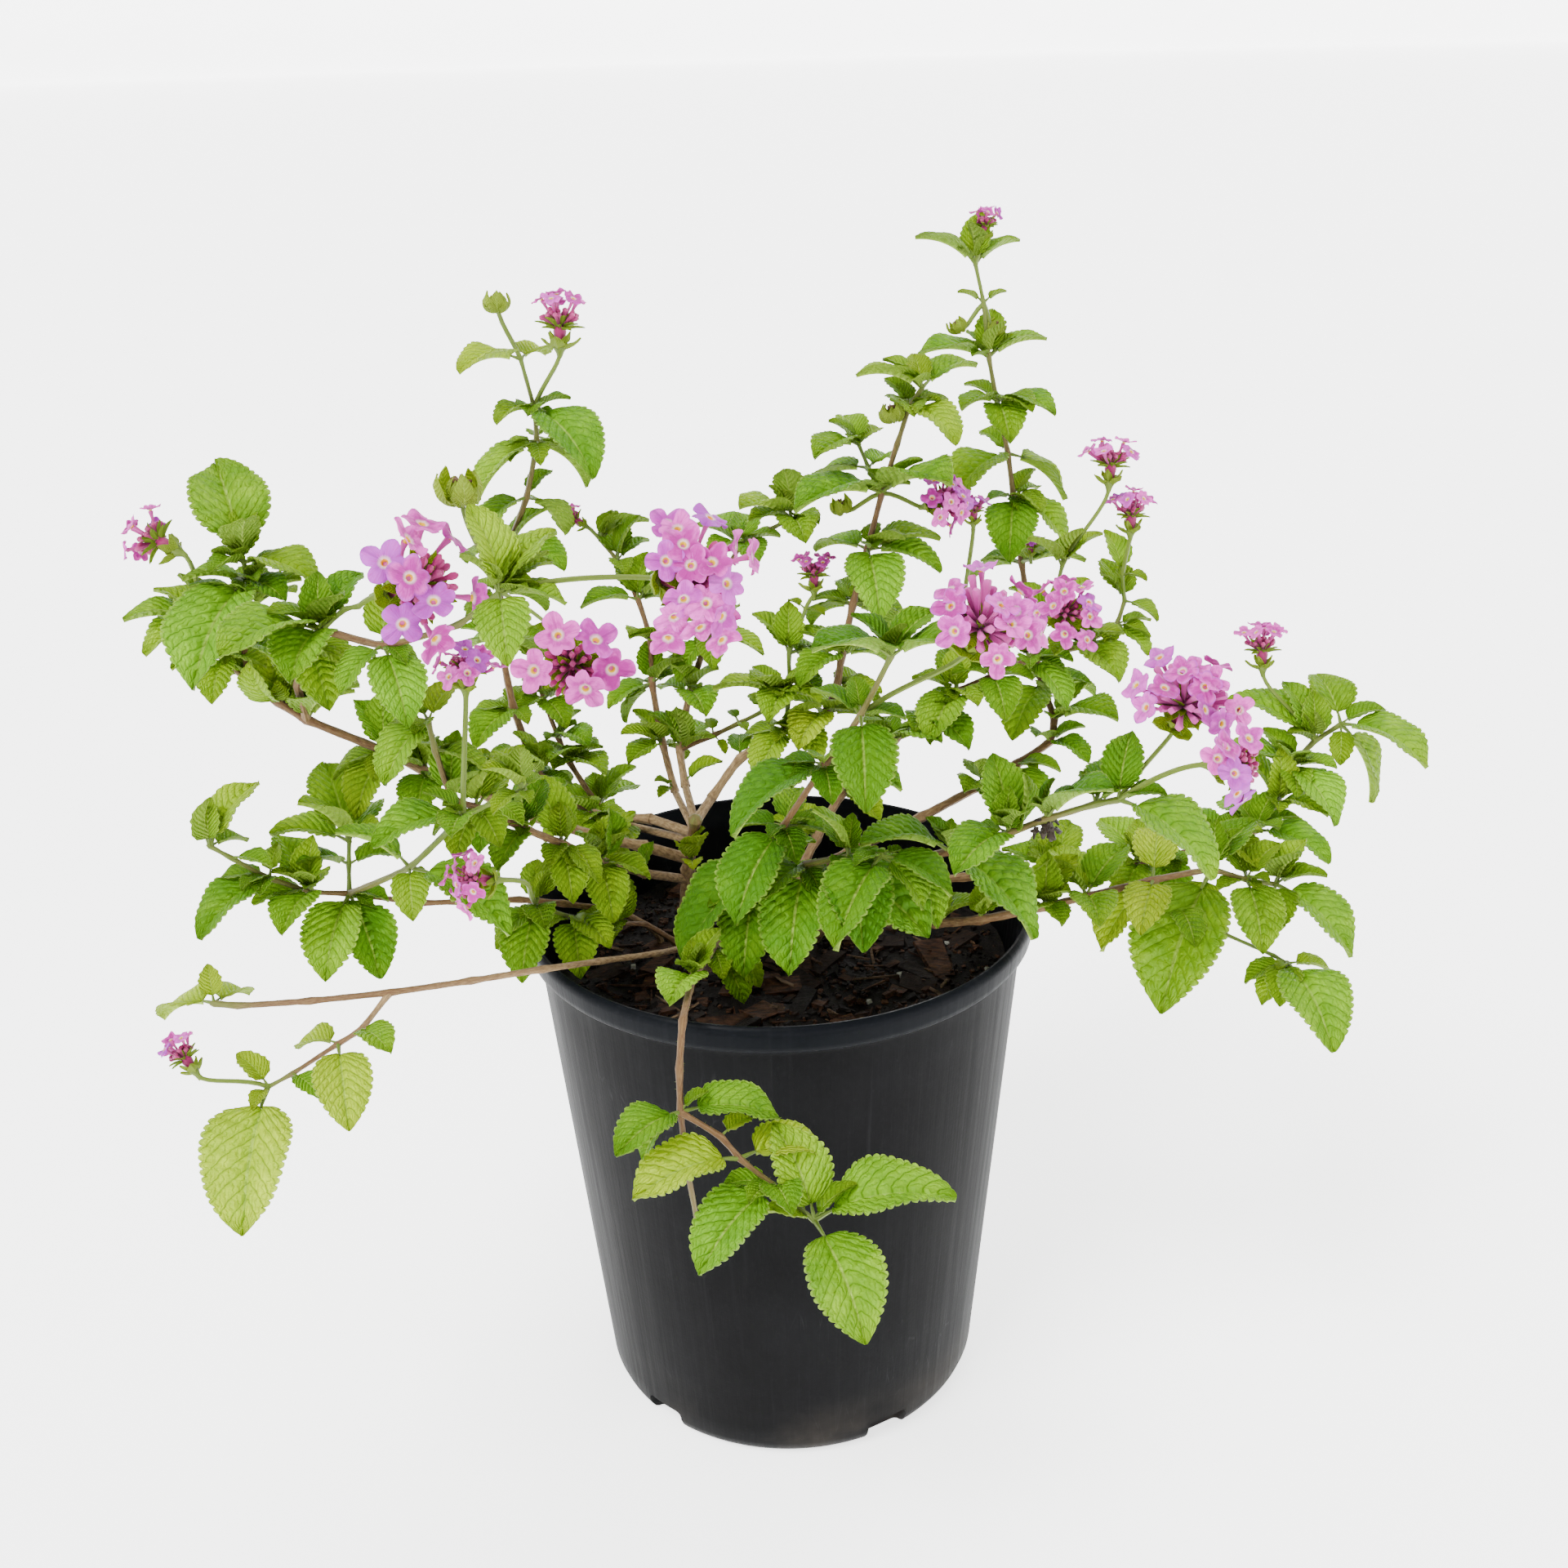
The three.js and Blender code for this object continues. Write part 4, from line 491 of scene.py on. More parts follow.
class Piece:
    """Collects closed forms, in millimetres, and turns them into one mesh object.

    spot, vein and tint are what the materials read: a place on the form, its vein pattern, and
    how yellow, how light and how old that form is.
    """

    def __init__(self, name):
        self.name = name
        self.points, self.faces, self.slots = [], [], []
        self.marks = {"spot": [], "vein": [], "tint": []}
        self.count = 0

    def add(self, points, faces, slot, spot=None, vein=None, tint=(0, 0, 0)):
        points = np.asarray(points, float).reshape(-1, 3)
        for name, value in (("spot", spot), ("vein", vein), ("tint", tint)):
            value = np.zeros(3) if value is None else np.asarray(value, float)
            self.marks[name].append(np.broadcast_to(value, points.shape))
        for group in faces:
            group = np.asarray(group, int)
            self.faces.extend((group + self.count).tolist())
            self.slots.append(np.full(len(group), slot))
        self.points.append(points)
        self.count += len(points)

    def make(self, materials, nodes, slot, crease=50):
        mesh = bpy.data.meshes.new(self.name)
        low, high = np.array(cad_box)
        points = np.clip(np.concatenate(self.points) * MM, low + BOX_SKIN, high - BOX_SKIN)
        mesh.from_pydata(points, [], self.faces)
        for name, values in self.marks.items():
            mark = mesh.attributes.new(name, "FLOAT_VECTOR", "POINT")
            mark.data.foreach_set("vector", np.concatenate(values).astype(np.float32).ravel())
        for material in materials:
            mesh.materials.append(material)
        mesh.polygons.foreach_set("material_index", np.concatenate(self.slots).astype(np.int32))
        mesh.polygons.foreach_set("use_smooth", np.ones(len(mesh.polygons), bool))
        mesh.update()
        mesh.set_sharp_from_angle(angle=math.radians(crease))
        obj = placed(self.name, mesh)
        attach(obj, "root")
        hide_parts(*nodes)
        return obj


def unit(v):
    v = np.asarray(v, float)
    return v / np.linalg.norm(v, axis=-1, keepdims=True)


def run_along(path):
    """How far along the path each of its points lies."""
    return np.concatenate([[0], np.cumsum(np.linalg.norm(np.diff(path, axis=0), axis=1))])


def circle(sides):
    """The angles of a ring's points."""
    return np.arange(sides) * 2 * np.pi / sides


def ring_faces(rings, sides, inward=False):
    """Quads between rings of points, facing out where the rings turn left and go up, or in."""
    i, k = np.meshgrid(np.arange(rings - 1), np.arange(sides), indexing="ij")
    a, b = (i * sides + k).ravel(), (i * sides + (k + 1) % sides).ravel()
    quads = [a, a + sides, b + sides, b] if inward else [a, b, b + sides, a + sides]
    return np.stack(quads, axis=1)


def closed_rings(rings, sides):
    """The quads between rings of points, and a cap at each end."""
    cap = np.arange(sides)[None]
    return [ring_faces(rings, sides), cap[:, ::-1], cap + (rings - 1) * sides]


def grid_faces(rows, cols, start=0, flip=False):
    """Quads over a grid of points, whose normal is the row direction crossed with the column's."""
    i, j = np.meshgrid(np.arange(rows - 1), np.arange(cols - 1), indexing="ij")
    a = (start + i * cols + j).ravel()
    quads = np.stack([a, a + cols, a + cols + 1, a + 1], axis=1)
    return quads[:, ::-1] if flip else quads


def tube(piece, path, radii, slot, sides=8, ridges=0.0, age=0.0, tint=(0, 0, 0)):
    """A closed round or four-ridged stem. age is 0 on green growth and 1 on old wood."""
    path = np.asarray(path, float)
    count = len(path)
    radii = np.broadcast_to(radii, count)
    age = np.broadcast_to(age, count)
    step = unit(np.diff(path, axis=0))
    along = unit(np.vstack([step[:1], step[:-1] + step[1:], step[-1:]]))
    across = np.cross(along[0], (0, 0, 1) if abs(along[0][2]) < 0.8 else (1, 0.2, 0))
    turns = circle(sides)
    swell = 1 + ridges * np.cos(4 * turns)
    rings = np.empty((count, sides, 3))
    for i in range(count):
        across = unit(across - along[i] * np.dot(across, along[i]))
        other = np.cross(along[i], across)
        rings[i] = path[i] + (radii[i] * swell * np.cos(turns))[:, None] * across \
            + (radii[i] * swell * np.sin(turns))[:, None] * other
    run = run_along(path)
    spot = np.stack([np.broadcast_to(turns, (count, sides)),
                     np.broadcast_to(run[:, None], (count, sides)),
                     np.broadcast_to(age[:, None], (count, sides))], axis=2)
    piece.add(rings, closed_rings(count, sides), slot, spot=spot.reshape(-1, 3), tint=tint)


def smooth_path(nodes, values, step=3.5, pull=0.4):
    """A curve through the nodes, with a value carried along; returns also each node's run."""
    nodes = np.asarray(nodes, float)
    ahead = np.vstack([nodes[1] - nodes[0], (nodes[2:] - nodes[:-2]) / 2, nodes[-1] - nodes[-2]])
    points, carried, stops = [nodes[0]], [values[0]], [0.0]
    for i in range(len(nodes) - 1):
        gap = np.linalg.norm(nodes[i + 1] - nodes[i])
        for t in np.linspace(0, 1, max(2, round(gap / step)) + 1)[1:]:
            h1, h2 = 2 * t**3 - 3 * t**2 + 1, t**3 - 2 * t**2 + t
            h3, h4 = 3 * t**2 - 2 * t**3, t**3 - t**2
            level = gap * unit(ahead[i]) * pull + (nodes[i + 1] - nodes[i]) * (1 - pull)
            leave = gap * unit(ahead[i + 1]) * pull + (nodes[i + 1] - nodes[i]) * (1 - pull)
            points.append(h1 * nodes[i] + h2 * level + h3 * nodes[i + 1] + h4 * leave)
            carried.append(values[i] + (values[i + 1] - values[i]) * t)
        stops.append(stops[-1] + gap)
    return np.array(points), np.array(carried), np.array(stops)


# ---------------------------------------------------------------- leaves
def leaf_axes(heading, rise):
    """Unit vectors along a leaf's chord, across it (level) and out of its upper face."""
    h, r = math.radians(heading), math.radians(rise)
    along = np.array([math.cos(h) * math.cos(r), math.sin(h) * math.cos(r), math.sin(r)])
    across = np.array([-math.sin(h), math.cos(h), 0])
    return along, across, np.cross(along, across)


def half_width(t):
    """Broad and rounded at the base, and drawn out to a point at the tip."""
    power = LEAF_ROUND + LEAF_POINT * np.clip((t - 0.6) / 0.4, 0, 1)
    return np.sin(np.pi * np.clip(t, 0, 1) ** LEAF_BELLY) ** power


def by_length(length, choices):
    """What a large, a middle or a small leaf takes, by its length."""
    return choices[0 if length > FINE_LEAF else 1 if length > SMALL_LEAF else 2]


def blade(piece, root, axes, length, stalk, slot, tint, width=LEAF_WIDTH, arch=LEAF_ARCH,
          fold=LEAF_FOLD, thick=LEAF_THICK, teeth=12, columns=COLUMNS[0], quilt=0.0, twist=0.0,
          ripple=0.0, phase=0.0):
    """A closed blade with a scalloped rim, a sunken midrib and side veins, puffed up between."""
    along, across, up = axes
    span = length - stalk
    if teeth:
        steps, heights = by_length(length, TEETH)
        place = np.append((np.arange(teeth)[:, None] + steps).ravel() / teeth, 1)
        scallop = np.append(np.tile(heights, teeth), 0)
    else:
        place = np.linspace(0, 1, 9)
        scallop = np.zeros(9)
    t = (0.002 + 0.992 * place)[:, None]
    u = columns[None, :]
    reach = np.abs(u)
    pitch = span / max(teeth, 1)
    edge = np.clip((reach - 0.7) / 0.3, 0, 1)
    grow = scallop[:, None] * TOOTH_DEPTH * pitch * np.clip(8 * half_width(t) * (1 - t), 0, 1)
    w = width * span * half_width(t)
    s = (stalk + span * t) / length
    lean = up * (4 * arch * (1 - 2 * s))[..., None] + along
    normal = np.cross(unit(lean), across)
    turn = (twist * t**1.5)[..., None]
    sideways = across * np.cos(turn) + normal * np.sin(turn)
    normal = normal * np.cos(turn) - across * np.sin(turn)
    rank = VEIN_PAIRS * (t - VEIN_RISE * reach**1.3 * (1 - t) ** 0.5) + 0.3 * np.sign(u)
    puff = (np.abs(np.sin(np.pi * rank)) ** 0.55 - 0.5) * np.clip(reach * 4, 0, 1)
    puff = quilt * (puff * (1 - 0.5 * reach**4) - 1.1 * np.exp(-((u / 0.09) ** 2)))
    wave = ripple * reach**2 * np.sin(2 * np.pi * (1.6 * t + phase + 0.3 * np.sign(u)))
    lift = (1.5 * reach - 0.5 * u**2) * w * math.sin(fold) + puff + wave
    out = np.sign(u) * (reach * w + edge * grow) * math.cos(fold)
    centre = root + along * (s * length + 0.25 * edge * np.abs(grow))[..., None] \
        + up * (4 * arch * length * s * (1 - s))[..., None]
    sheet = centre + sideways * out[..., None] + normal * lift[..., None]
    rib = 0.5 * thick + 1.6 * thick * np.exp(-((u / 0.07) ** 2)) * (1 - 0.8 * t)
    rows, cols = sheet.shape[:2]
    half = rows * cols
    top = sheet + normal * (0.5 * thick)
    under = sheet - normal * rib[..., None]
    rim = [(i, 0) for i in range(rows)]
    rim += [(rows - 1, j) for j in range(1, cols)]
    rim += [(i, cols - 1) for i in range(rows - 2, -1, -1)]
    rim += [(0, j) for j in range(cols - 2, 0, -1)]
    loop = np.array([i * cols + j for i, j in rim])
    onward = np.roll(loop, -1)
    strip = np.stack([loop, loop + half, onward + half, onward], axis=1)
    flat = np.broadcast_to(t, (rows, cols)) * span
    spot = np.stack([out, flat, np.ones((rows, cols))], axis=2).reshape(-1, 3)
    vein = np.stack([rank, np.broadcast_to(u, (rows, cols)), np.broadcast_to(t, (rows, cols))],
                    axis=2).reshape(-1, 3)
    spots = np.vstack([spot, spot * (1, 1, -1)])
    piece.add(np.vstack([top.reshape(-1, 3), under.reshape(-1, 3)]),
              [grid_faces(rows, cols), grid_faces(rows, cols, half, flip=True), strip],
              slot, spot=spots, vein=np.vstack([vein, vein]), tint=tint)


def fitted(root, axes, length):
    """A leaf's length, cut back where the leaf would reach past the box of the solids."""
    along, across, up = axes
    low, high = np.array(cad_box) / MM
    places = [along, *(s * along + side * LEAF_WIDTH * across + 4 * LEAF_ARCH * s * (1 - s) * up
                       for s in (0.3, 0.5, 0.7) for side in (-1, 1))]
    while length > LEAST_LEAF:
        reach = root + length * np.array(places)
        if (reach > low + BOX_GAP).all() and (reach < high - BOX_GAP).all():
            break
        length *= 0.96
    return length


def leaf(piece, root, heading, rise, length, tint):
    axes = leaf_axes(heading, rise)
    length = fitted(root, axes, length)
    along, _, up = axes
    stalk = max(LEAST_STALK, STALK_SHARE * length)
    teeth = int(np.clip(round((length - stalk) / TOOTH_PITCH), 5, 20))
    blade(piece, root, axes, length, stalk, LEAF, tint, teeth=teeth,
          columns=by_length(length, COLUMNS), quilt=QUILT * length,
          twist=rng.normal(0, 0.18), ripple=rng.uniform(0.01, 0.03) * length, phase=rng.random())
    sides, steps = (6, 5) if length > SMALL_LEAF else (4, 3)
    s = np.linspace(0, stalk / length, steps)[:, None] * 1.04
    path = root + along * (s * length) + up * (4 * LEAF_ARCH * length * s * (1 - s))
    path[0] = root - along * STALK_SUNK
    thick = 0.42 + 0.008 * length
    tube(piece, path, np.linspace(1.2, 0.6, steps) * thick, STEM, sides=sides, age=0.06)


# ---------------------------------------------------------------- flowers
def head_axes(heading, rise):
    axis = leaf_axes(heading, rise)[0]
    side = unit(np.cross(axis, (0, 0, 1) if abs(axis[2]) < 0.95 else (0, 1, 0)))
    return axis, side, np.cross(side, axis)


def direction(axes, tilt, turn):
    axis, side, over = axes
    a, b = math.radians(tilt), math.radians(turn)
    return axis * math.cos(a) + (side * math.cos(b) + over * math.sin(b)) * math.sin(a)


def flower_stalk(piece, start, foot, axis, sunk):
    """The stalk bends up out of the leaf axil and meets the flower head square on."""
    reach = np.linalg.norm(foot - start)
    leave = unit(unit(foot - start) + np.array([0, 0, STALK_LIFT]))
    ctrl = [start, start + leave * reach * 0.35, foot - axis * reach * 0.28, foot - axis * sunk]
    t = np.linspace(0, 1, max(6, round(reach / 2.5)))[:, None]
    path = (1 - t)**3 * ctrl[0] + 3 * t * (1 - t)**2 * ctrl[1] + 3 * t**2 * (1 - t) * ctrl[2] \
        + t**3 * ctrl[3]
    flare = 0.75 - 0.1 * t[:, 0] + 1.2 * np.clip(t[:, 0] - 0.9, 0, 1)
    tube(piece, path, flare, STEM, sides=12, ridges=0.1, age=0.02, tint=(0.3, 0.2, 0))
    return path


def bract(piece, start, out, axis, length, width, rise, tint, curl=0.22):
    """A pointed green bract that leaves the cup outwards and bends up towards the florets."""
    along = unit(out * math.cos(rise) + axis * math.sin(rise))
    across = unit(np.cross(axis, out))
    blade(piece, start, (along, across, np.cross(along, across)), length, 0.02 * length, LEAF,
          tint, width=width, arch=-curl, fold=BRACT_FOLD, thick=0.28, teeth=0,
          columns=COLUMNS[-1], quilt=0.05, ripple=0.03 * length, phase=rng.random())


def bract_cup(piece, foot, axes, spread):
    """Two whorls of bracts, the outer ones broad, on the swollen top of the stalk."""
    axis = axes[0]
    neck = np.array([foot - axis * d for d in (CALYX_DEPTH, 2.2, 0.9, -0.4)])
    tube(piece, neck, np.maximum(np.array([0.1, 0.2, 0.32, 0.28]) * spread, 0.6), STEM, sides=12,
         ridges=0.05, age=0.02, tint=(0.3, 0.2, 0))
    count = 8 if spread > 6 else 6
    for k in range(count):
        turn = 360 * k / count + rng.uniform(-10, 10)
        out = direction(axes, 90, turn)
        outer = k % 2 == 0
        start = foot - axis * (0.9 if outer else 0.3) + out * 0.12 * spread
        bract(piece, start, out, axis, spread * rng.uniform(0.95, 1.15) * (1 if outer else 0.85),
              0.36 if outer else 0.28, math.radians(30 if outer else 52),
              (1.0, 1.4, rng.random()), curl=0.1)


def bud_head(piece, foot, axes, across):
    """A green head after flowering: upright pointed bracts round a few dark fruits."""
    axis = axes[0]
    centre = foot + axis * across * CENTRE_SHARE
    for ring, (rise, size, place) in enumerate(GREEN_CUP):
        for k in range(5):
            out = direction(axes, 90, 72 * k + 36 * ring + rng.uniform(-12, 12))
            start = centre - axis * 0.38 * across + out * place * across
            bract(piece, start, out, axis, size * across * rng.uniform(0.85, 1.1), 0.34,
                  math.radians(rise + rng.uniform(-8, 8)), (1.2, 2.0, rng.random()), curl=0.3)
    core = [centre + axis * at * across for at in (-0.4, -0.1, 0.05)]
    tube(piece, core, np.array([0.14, 0.24, 0.1]) * across, LEAF, sides=8, tint=(0.9, -0.2, 0.5))
    for k in range(7):
        out = direction(axes, rng.uniform(20, 70), 51 * k)
        start = centre + out * 0.14 * across
        tube(piece, [start, start + out * 0.1 * across, start + out * 0.18 * across],
             np.array([0.04, 0.06, 0.03]) * across, STEM, sides=6, age=0.42)


def withered_head(piece, joint):
    """A dried head that hangs from a joint: dark crumpled bits round a short stub."""
    for _ in range(WITHERED_BITS):
        out = unit(rng.normal(0, 0.45, 3) + (0.1, 0, -0.9))
        start = joint + out * rng.uniform(0.6, 4.2)
        turn = unit(rng.normal(size=3)) * 0.9
        tube(piece, [start, start + out * 1.1 + turn, start + out * rng.uniform(1.8, 3.2)],
             np.array([0.5, 1.0, 0.4]) * rng.uniform(0.7, 1.2), STEM, sides=6, ridges=0.3, age=0.3,
             tint=(0, DRIED, 0))


def limb_outline(turns):
    """A broad lower lobe, two side lobes and a notched upper one, as far as each reaches."""
    out = np.full(len(turns), 0.42)
    for centre, far, girth in LOBES:
        gap = turns - math.radians(centre)
        inside = girth**2 - (far * np.sin(gap)) ** 2
        edge = far * np.cos(gap) + np.sqrt(np.clip(inside, 0, None))
        out = np.where((inside > 0) & (np.cos(gap) > 0), np.maximum(out, edge), out)
    return out / 1.04


def floret(piece, centre, out, axis, reach, face, age):
    """A slender tube that opens into a lobed face with a deep throat."""
    facing = unit(out * (1 - FACE_LEAN) + axis * FACE_LEAN + rng.normal(0, FACE_SWAY, 3))
    down = out - axis
    down = down - facing * np.dot(down, facing)
    if np.linalg.norm(down) < 0.15:
        down = np.cross(facing, unit(rng.normal(size=3)))
    down = unit(down)
    over = np.cross(facing, down)
    spin = rng.uniform(-0.35, 0.35)
    down, over = down * math.cos(spin) + over * math.sin(spin), \
        over * math.cos(spin) - down * math.sin(spin)
    sides = 40 if face > 4.5 else 28
    levels = np.array([0.09, 0.18, 0.36, 0.58, 0.82, 1.0])
    turns = circle(sides)
    shape = limb_outline(turns) * face * rng.uniform(0.97, 1.03)
    crease = 0.08 * face * np.cos(4 * turns) + 0.08 * face * np.sin(turns * 7 + rng.uniform(0, 6))
    flop = rng.uniform(-0.2, 0.3, 4) + 0.16 * age
    bend = np.interp(turns, np.arange(5) * np.pi / 2, [*flop, flop[0]])
    throat = centre + out * (reach - FLORET_DISH * face)
    rings, marks, lobes = [], [], []
    for level in levels:
        blend = np.clip((level - 0.09) / 0.35, 0, 1)
        radius = level * (blend * shape + (1 - blend) * face * 0.8)
        rise = FLORET_DISH * face * (level**0.8 - 0.5) + (crease - bend * face) * level**2 \
            - 0.2 * face * math.exp(-(((level - 0.09) / 0.07) ** 2))
        rings.append(throat + facing * rise[:, None] + down * (radius * np.cos(turns))[:, None]
                     + over * (radius * np.sin(turns))[:, None])
        marks.append(np.stack([radius / face, turns, np.full(sides, age)], axis=1))
        lobes.append(np.stack([np.full(sides, level), shape / face, turns], axis=1))
    top = np.array(rings)
    under = top - facing * 0.2
    half = len(levels) * sides
    upper = ring_faces(len(levels), sides, inward=True)
    eye = np.arange(sides)
    last = eye + half - sides
    onward = np.roll(last, -1)
    rim = np.stack([last, last + half, onward + half, onward], axis=1)
    piece.add(np.vstack([top.reshape(-1, 3), under.reshape(-1, 3)]),
              [upper, (upper + half)[:, ::-1], rim, [eye], [eye[::-1] + half]], PETAL,
              spot=np.vstack([np.concatenate(marks)] * 2),
              vein=np.vstack([np.concatenate(lobes)] * 2),
              tint=(rng.uniform(-1, 1), rng.uniform(-1, 1), rng.random()))
    t = np.linspace(0.2, 1, 7)[:, None]
    foot = centre + out * (0.1 * reach)
    mouth = throat - facing * (0.25 * face)
    neck = foot + (mouth - foot) * t + (out - facing) * (0.12 * reach) * np.sin(np.pi * t)
    flare = np.array([0.36, 0.4, 0.44, 0.5, 0.58, 0.72, 1.0])
    tube(piece, neck, flare * (0.4 + 0.11 * face), TUBE, sides=8, age=age,
         tint=(rng.uniform(-1, 1), 0, 0))


def bud(piece, centre, out, near, far, girth, spent):
    """A floret before it opens, swollen at the tip, or after it has shed its face."""
    t, swell, slot = SPENT_TUBE if spent else CLOSED_BUD
    t = np.array(t)
    path = centre + out * (near + (far - near) * t[:, None]) \
        + unit(rng.normal(size=3)) * 0.05 * far * (t**2)[:, None]
    tube(piece, path, np.array(swell) * girth, slot, sides=8, ridges=0.1, age=rng.random(),
         tint=(rng.uniform(-1, 1), 0, 0))


def bloom(name, foot, heading, rise, across, face, rings):
    piece = Piece("visual_" + name)
    axes = head_axes(heading, rise)
    axis = axes[0]
    centre = foot + axis * across * CENTRE_SHARE
    reach = across / 2 - FLORET_INSET
    core = 0.3 * CENTRE_SHARE * across + 0.6
    tube(piece, [foot, centre - axis * 0.4 * core, centre + axis * core],
         np.array([0.6, 1, 0.4]) * core, BUD, sides=12, age=0.2)
    face *= LARGE_FACES.get(name, 1)
    for count, tilt, turn in rings:
        for k in range(count):
            out = direction(axes, tilt + rng.uniform(-3, 3),
                            turn + 360 * k / count + rng.uniform(-4, 4))
            floret(piece, centre, out, axis, reach * rng.uniform(0.95, 1.0), face, rng.random())
    spent = name in SPENT_HEADS
    young = int(14 + across * 0.5)
    for k in range(young):
        tilt = 6 + (66 if spent else 56) * math.sqrt((k + 0.5) / young)
        out = direction(axes, tilt, GOLDEN * k + rng.uniform(-10, 10))
        far = reach * (0.72 if spent else 0.5 + 0.12 * tilt / 60) * rng.uniform(0.82, 1.08)
        bud(piece, centre, out, core * 0.7, far, 0.4 + 0.013 * across, spent)
    inner = int(8 + across * 0.4)
    for k in range(inner):
        out = direction(axes, 15 + 80 * math.sqrt((k + 0.5) / inner), GOLDEN * k + 60)
        side = unit(np.cross(axis, out))
        start = centre + out * core * 0.8
        blade(piece, start, (out, side, np.cross(out, side)), reach * rng.uniform(0.34, 0.54),
              0.05, LEAF, (0.7, 0.5, rng.random()), width=0.2, arch=0.04, thick=0.25, teeth=0,
              columns=COLUMNS[-1])
    piece.make([leaf_skin, stem_skin, petal_skin, tube_skin, bud_skin], [name], "petal")


# ---------------------------------------------------------------- materials
class Value:
    """A node's output. Arithmetic on it adds a Math node."""

    def __init__(self, nodes, socket):
        self.nodes, self.socket = nodes, socket

    def __add__(self, other):
        return self.nodes.maths("ADD", self, other)

    def __radd__(self, other):
        return self.nodes.maths("ADD", other, self)

    def __sub__(self, other):
        return self.nodes.maths("SUBTRACT", self, other)

    def __mul__(self, other):
        return self.nodes.maths("MULTIPLY", self, other)

    def __pow__(self, other):
        return self.nodes.maths("POWER", self, other)


class Nodes:
    """A node material being built."""

    def __init__(self, name):
        self.material = bpy.data.materials.new(name)
        self.material.use_nodes = True
        self.tree = self.material.node_tree
        self.tree.nodes.clear()
        self.out = self.tree.nodes.new("ShaderNodeOutputMaterial")

    def put(self, socket, value):
        if isinstance(value, Value):
            self.tree.links.new(value.socket, socket)
        elif isinstance(value, tuple) and len(value) == 3 and socket.type == "RGBA":
            socket.default_value = (*value, 1)
        else:
            socket.default_value = value

    def node(self, kind, inputs, output=0, **settings):
        node = self.tree.nodes.new("ShaderNode" + kind)
        for key, value in settings.items():
            setattr(node, key, value)
        for key, value in inputs.items():
            self.put(node.inputs[key], value)
        return Value(self, node.outputs[output])

    def split(self, vector):
        outputs = self.node("SeparateXYZ", {0: vector}).socket.node.outputs
        return [Value(self, socket) for socket in outputs]

    def join(self, x, y, z):
        return self.node("CombineXYZ", {0: x, 1: y, 2: z})

    def mark(self, name):
        """The three numbers that a piece's points carry under this name."""
        return self.split(self.node("Attribute", {}, output="Vector", attribute_name=name))

    def place(self):
        return self.node("TexCoord", {}, output="Object")

    def maths(self, operation, a, b=0.0):
        return self.node("Math", {0: a, 1: b}, operation=operation)

    def most(self, a, b):
        return self.maths("MAXIMUM", a, b)

    def zigzag(self, value):
        """0 at every whole number and 1 half way between."""
        return self.maths("PINGPONG", value, 0.5) * 2.0

    def span(self, value, low, high, start=0.0, end=1.0):
        """value taken from low..high to start..end, eased and held at both ends."""
        return self.node("MapRange", {"Value": value, "From Min": low, "From Max": high,
                                      "To Min": start, "To Max": end},
                         interpolation_type="SMOOTHSTEP")

    def noise(self, vector, scale, detail=3.0, rough=0.55):
        return self.node("TexNoise", {"Vector": vector, "Scale": scale, "Detail": detail,
                                      "Roughness": rough})

    def blend(self, share, a, b):
        return self.node("Mix", {0: share, 6: a, 7: b}, output=2, data_type="RGBA")

    def mottle(self, pattern, shades, low=0.3, high=0.7):
        """A blend of two shades by a pattern."""
        return self.blend(self.span(pattern, low, high), *shades)

    def bump(self, height, strength, distance):
        return self.node("Bump", {"Height": height, "Strength": strength, "Distance": distance})

    def surface(self, colour, rough, normal, shine, more=None):
        return self.node("BsdfPrincipled", {
            "Base Color": colour, "Roughness": rough, "Normal": normal,
            "Specular IOR Level": shine, **(more or {})})

    def let_through(self, share, surface, colour, normal):
        """A thin blade or petal, lit from behind as well."""
        glow = self.node("BsdfTranslucent", {"Color": colour, "Normal": normal})
        return self.node("MixShader", {0: share, 1: surface, 2: glow})

    def finish(self, shader):
        self.put(self.out.inputs[0], shader)
        return self.material


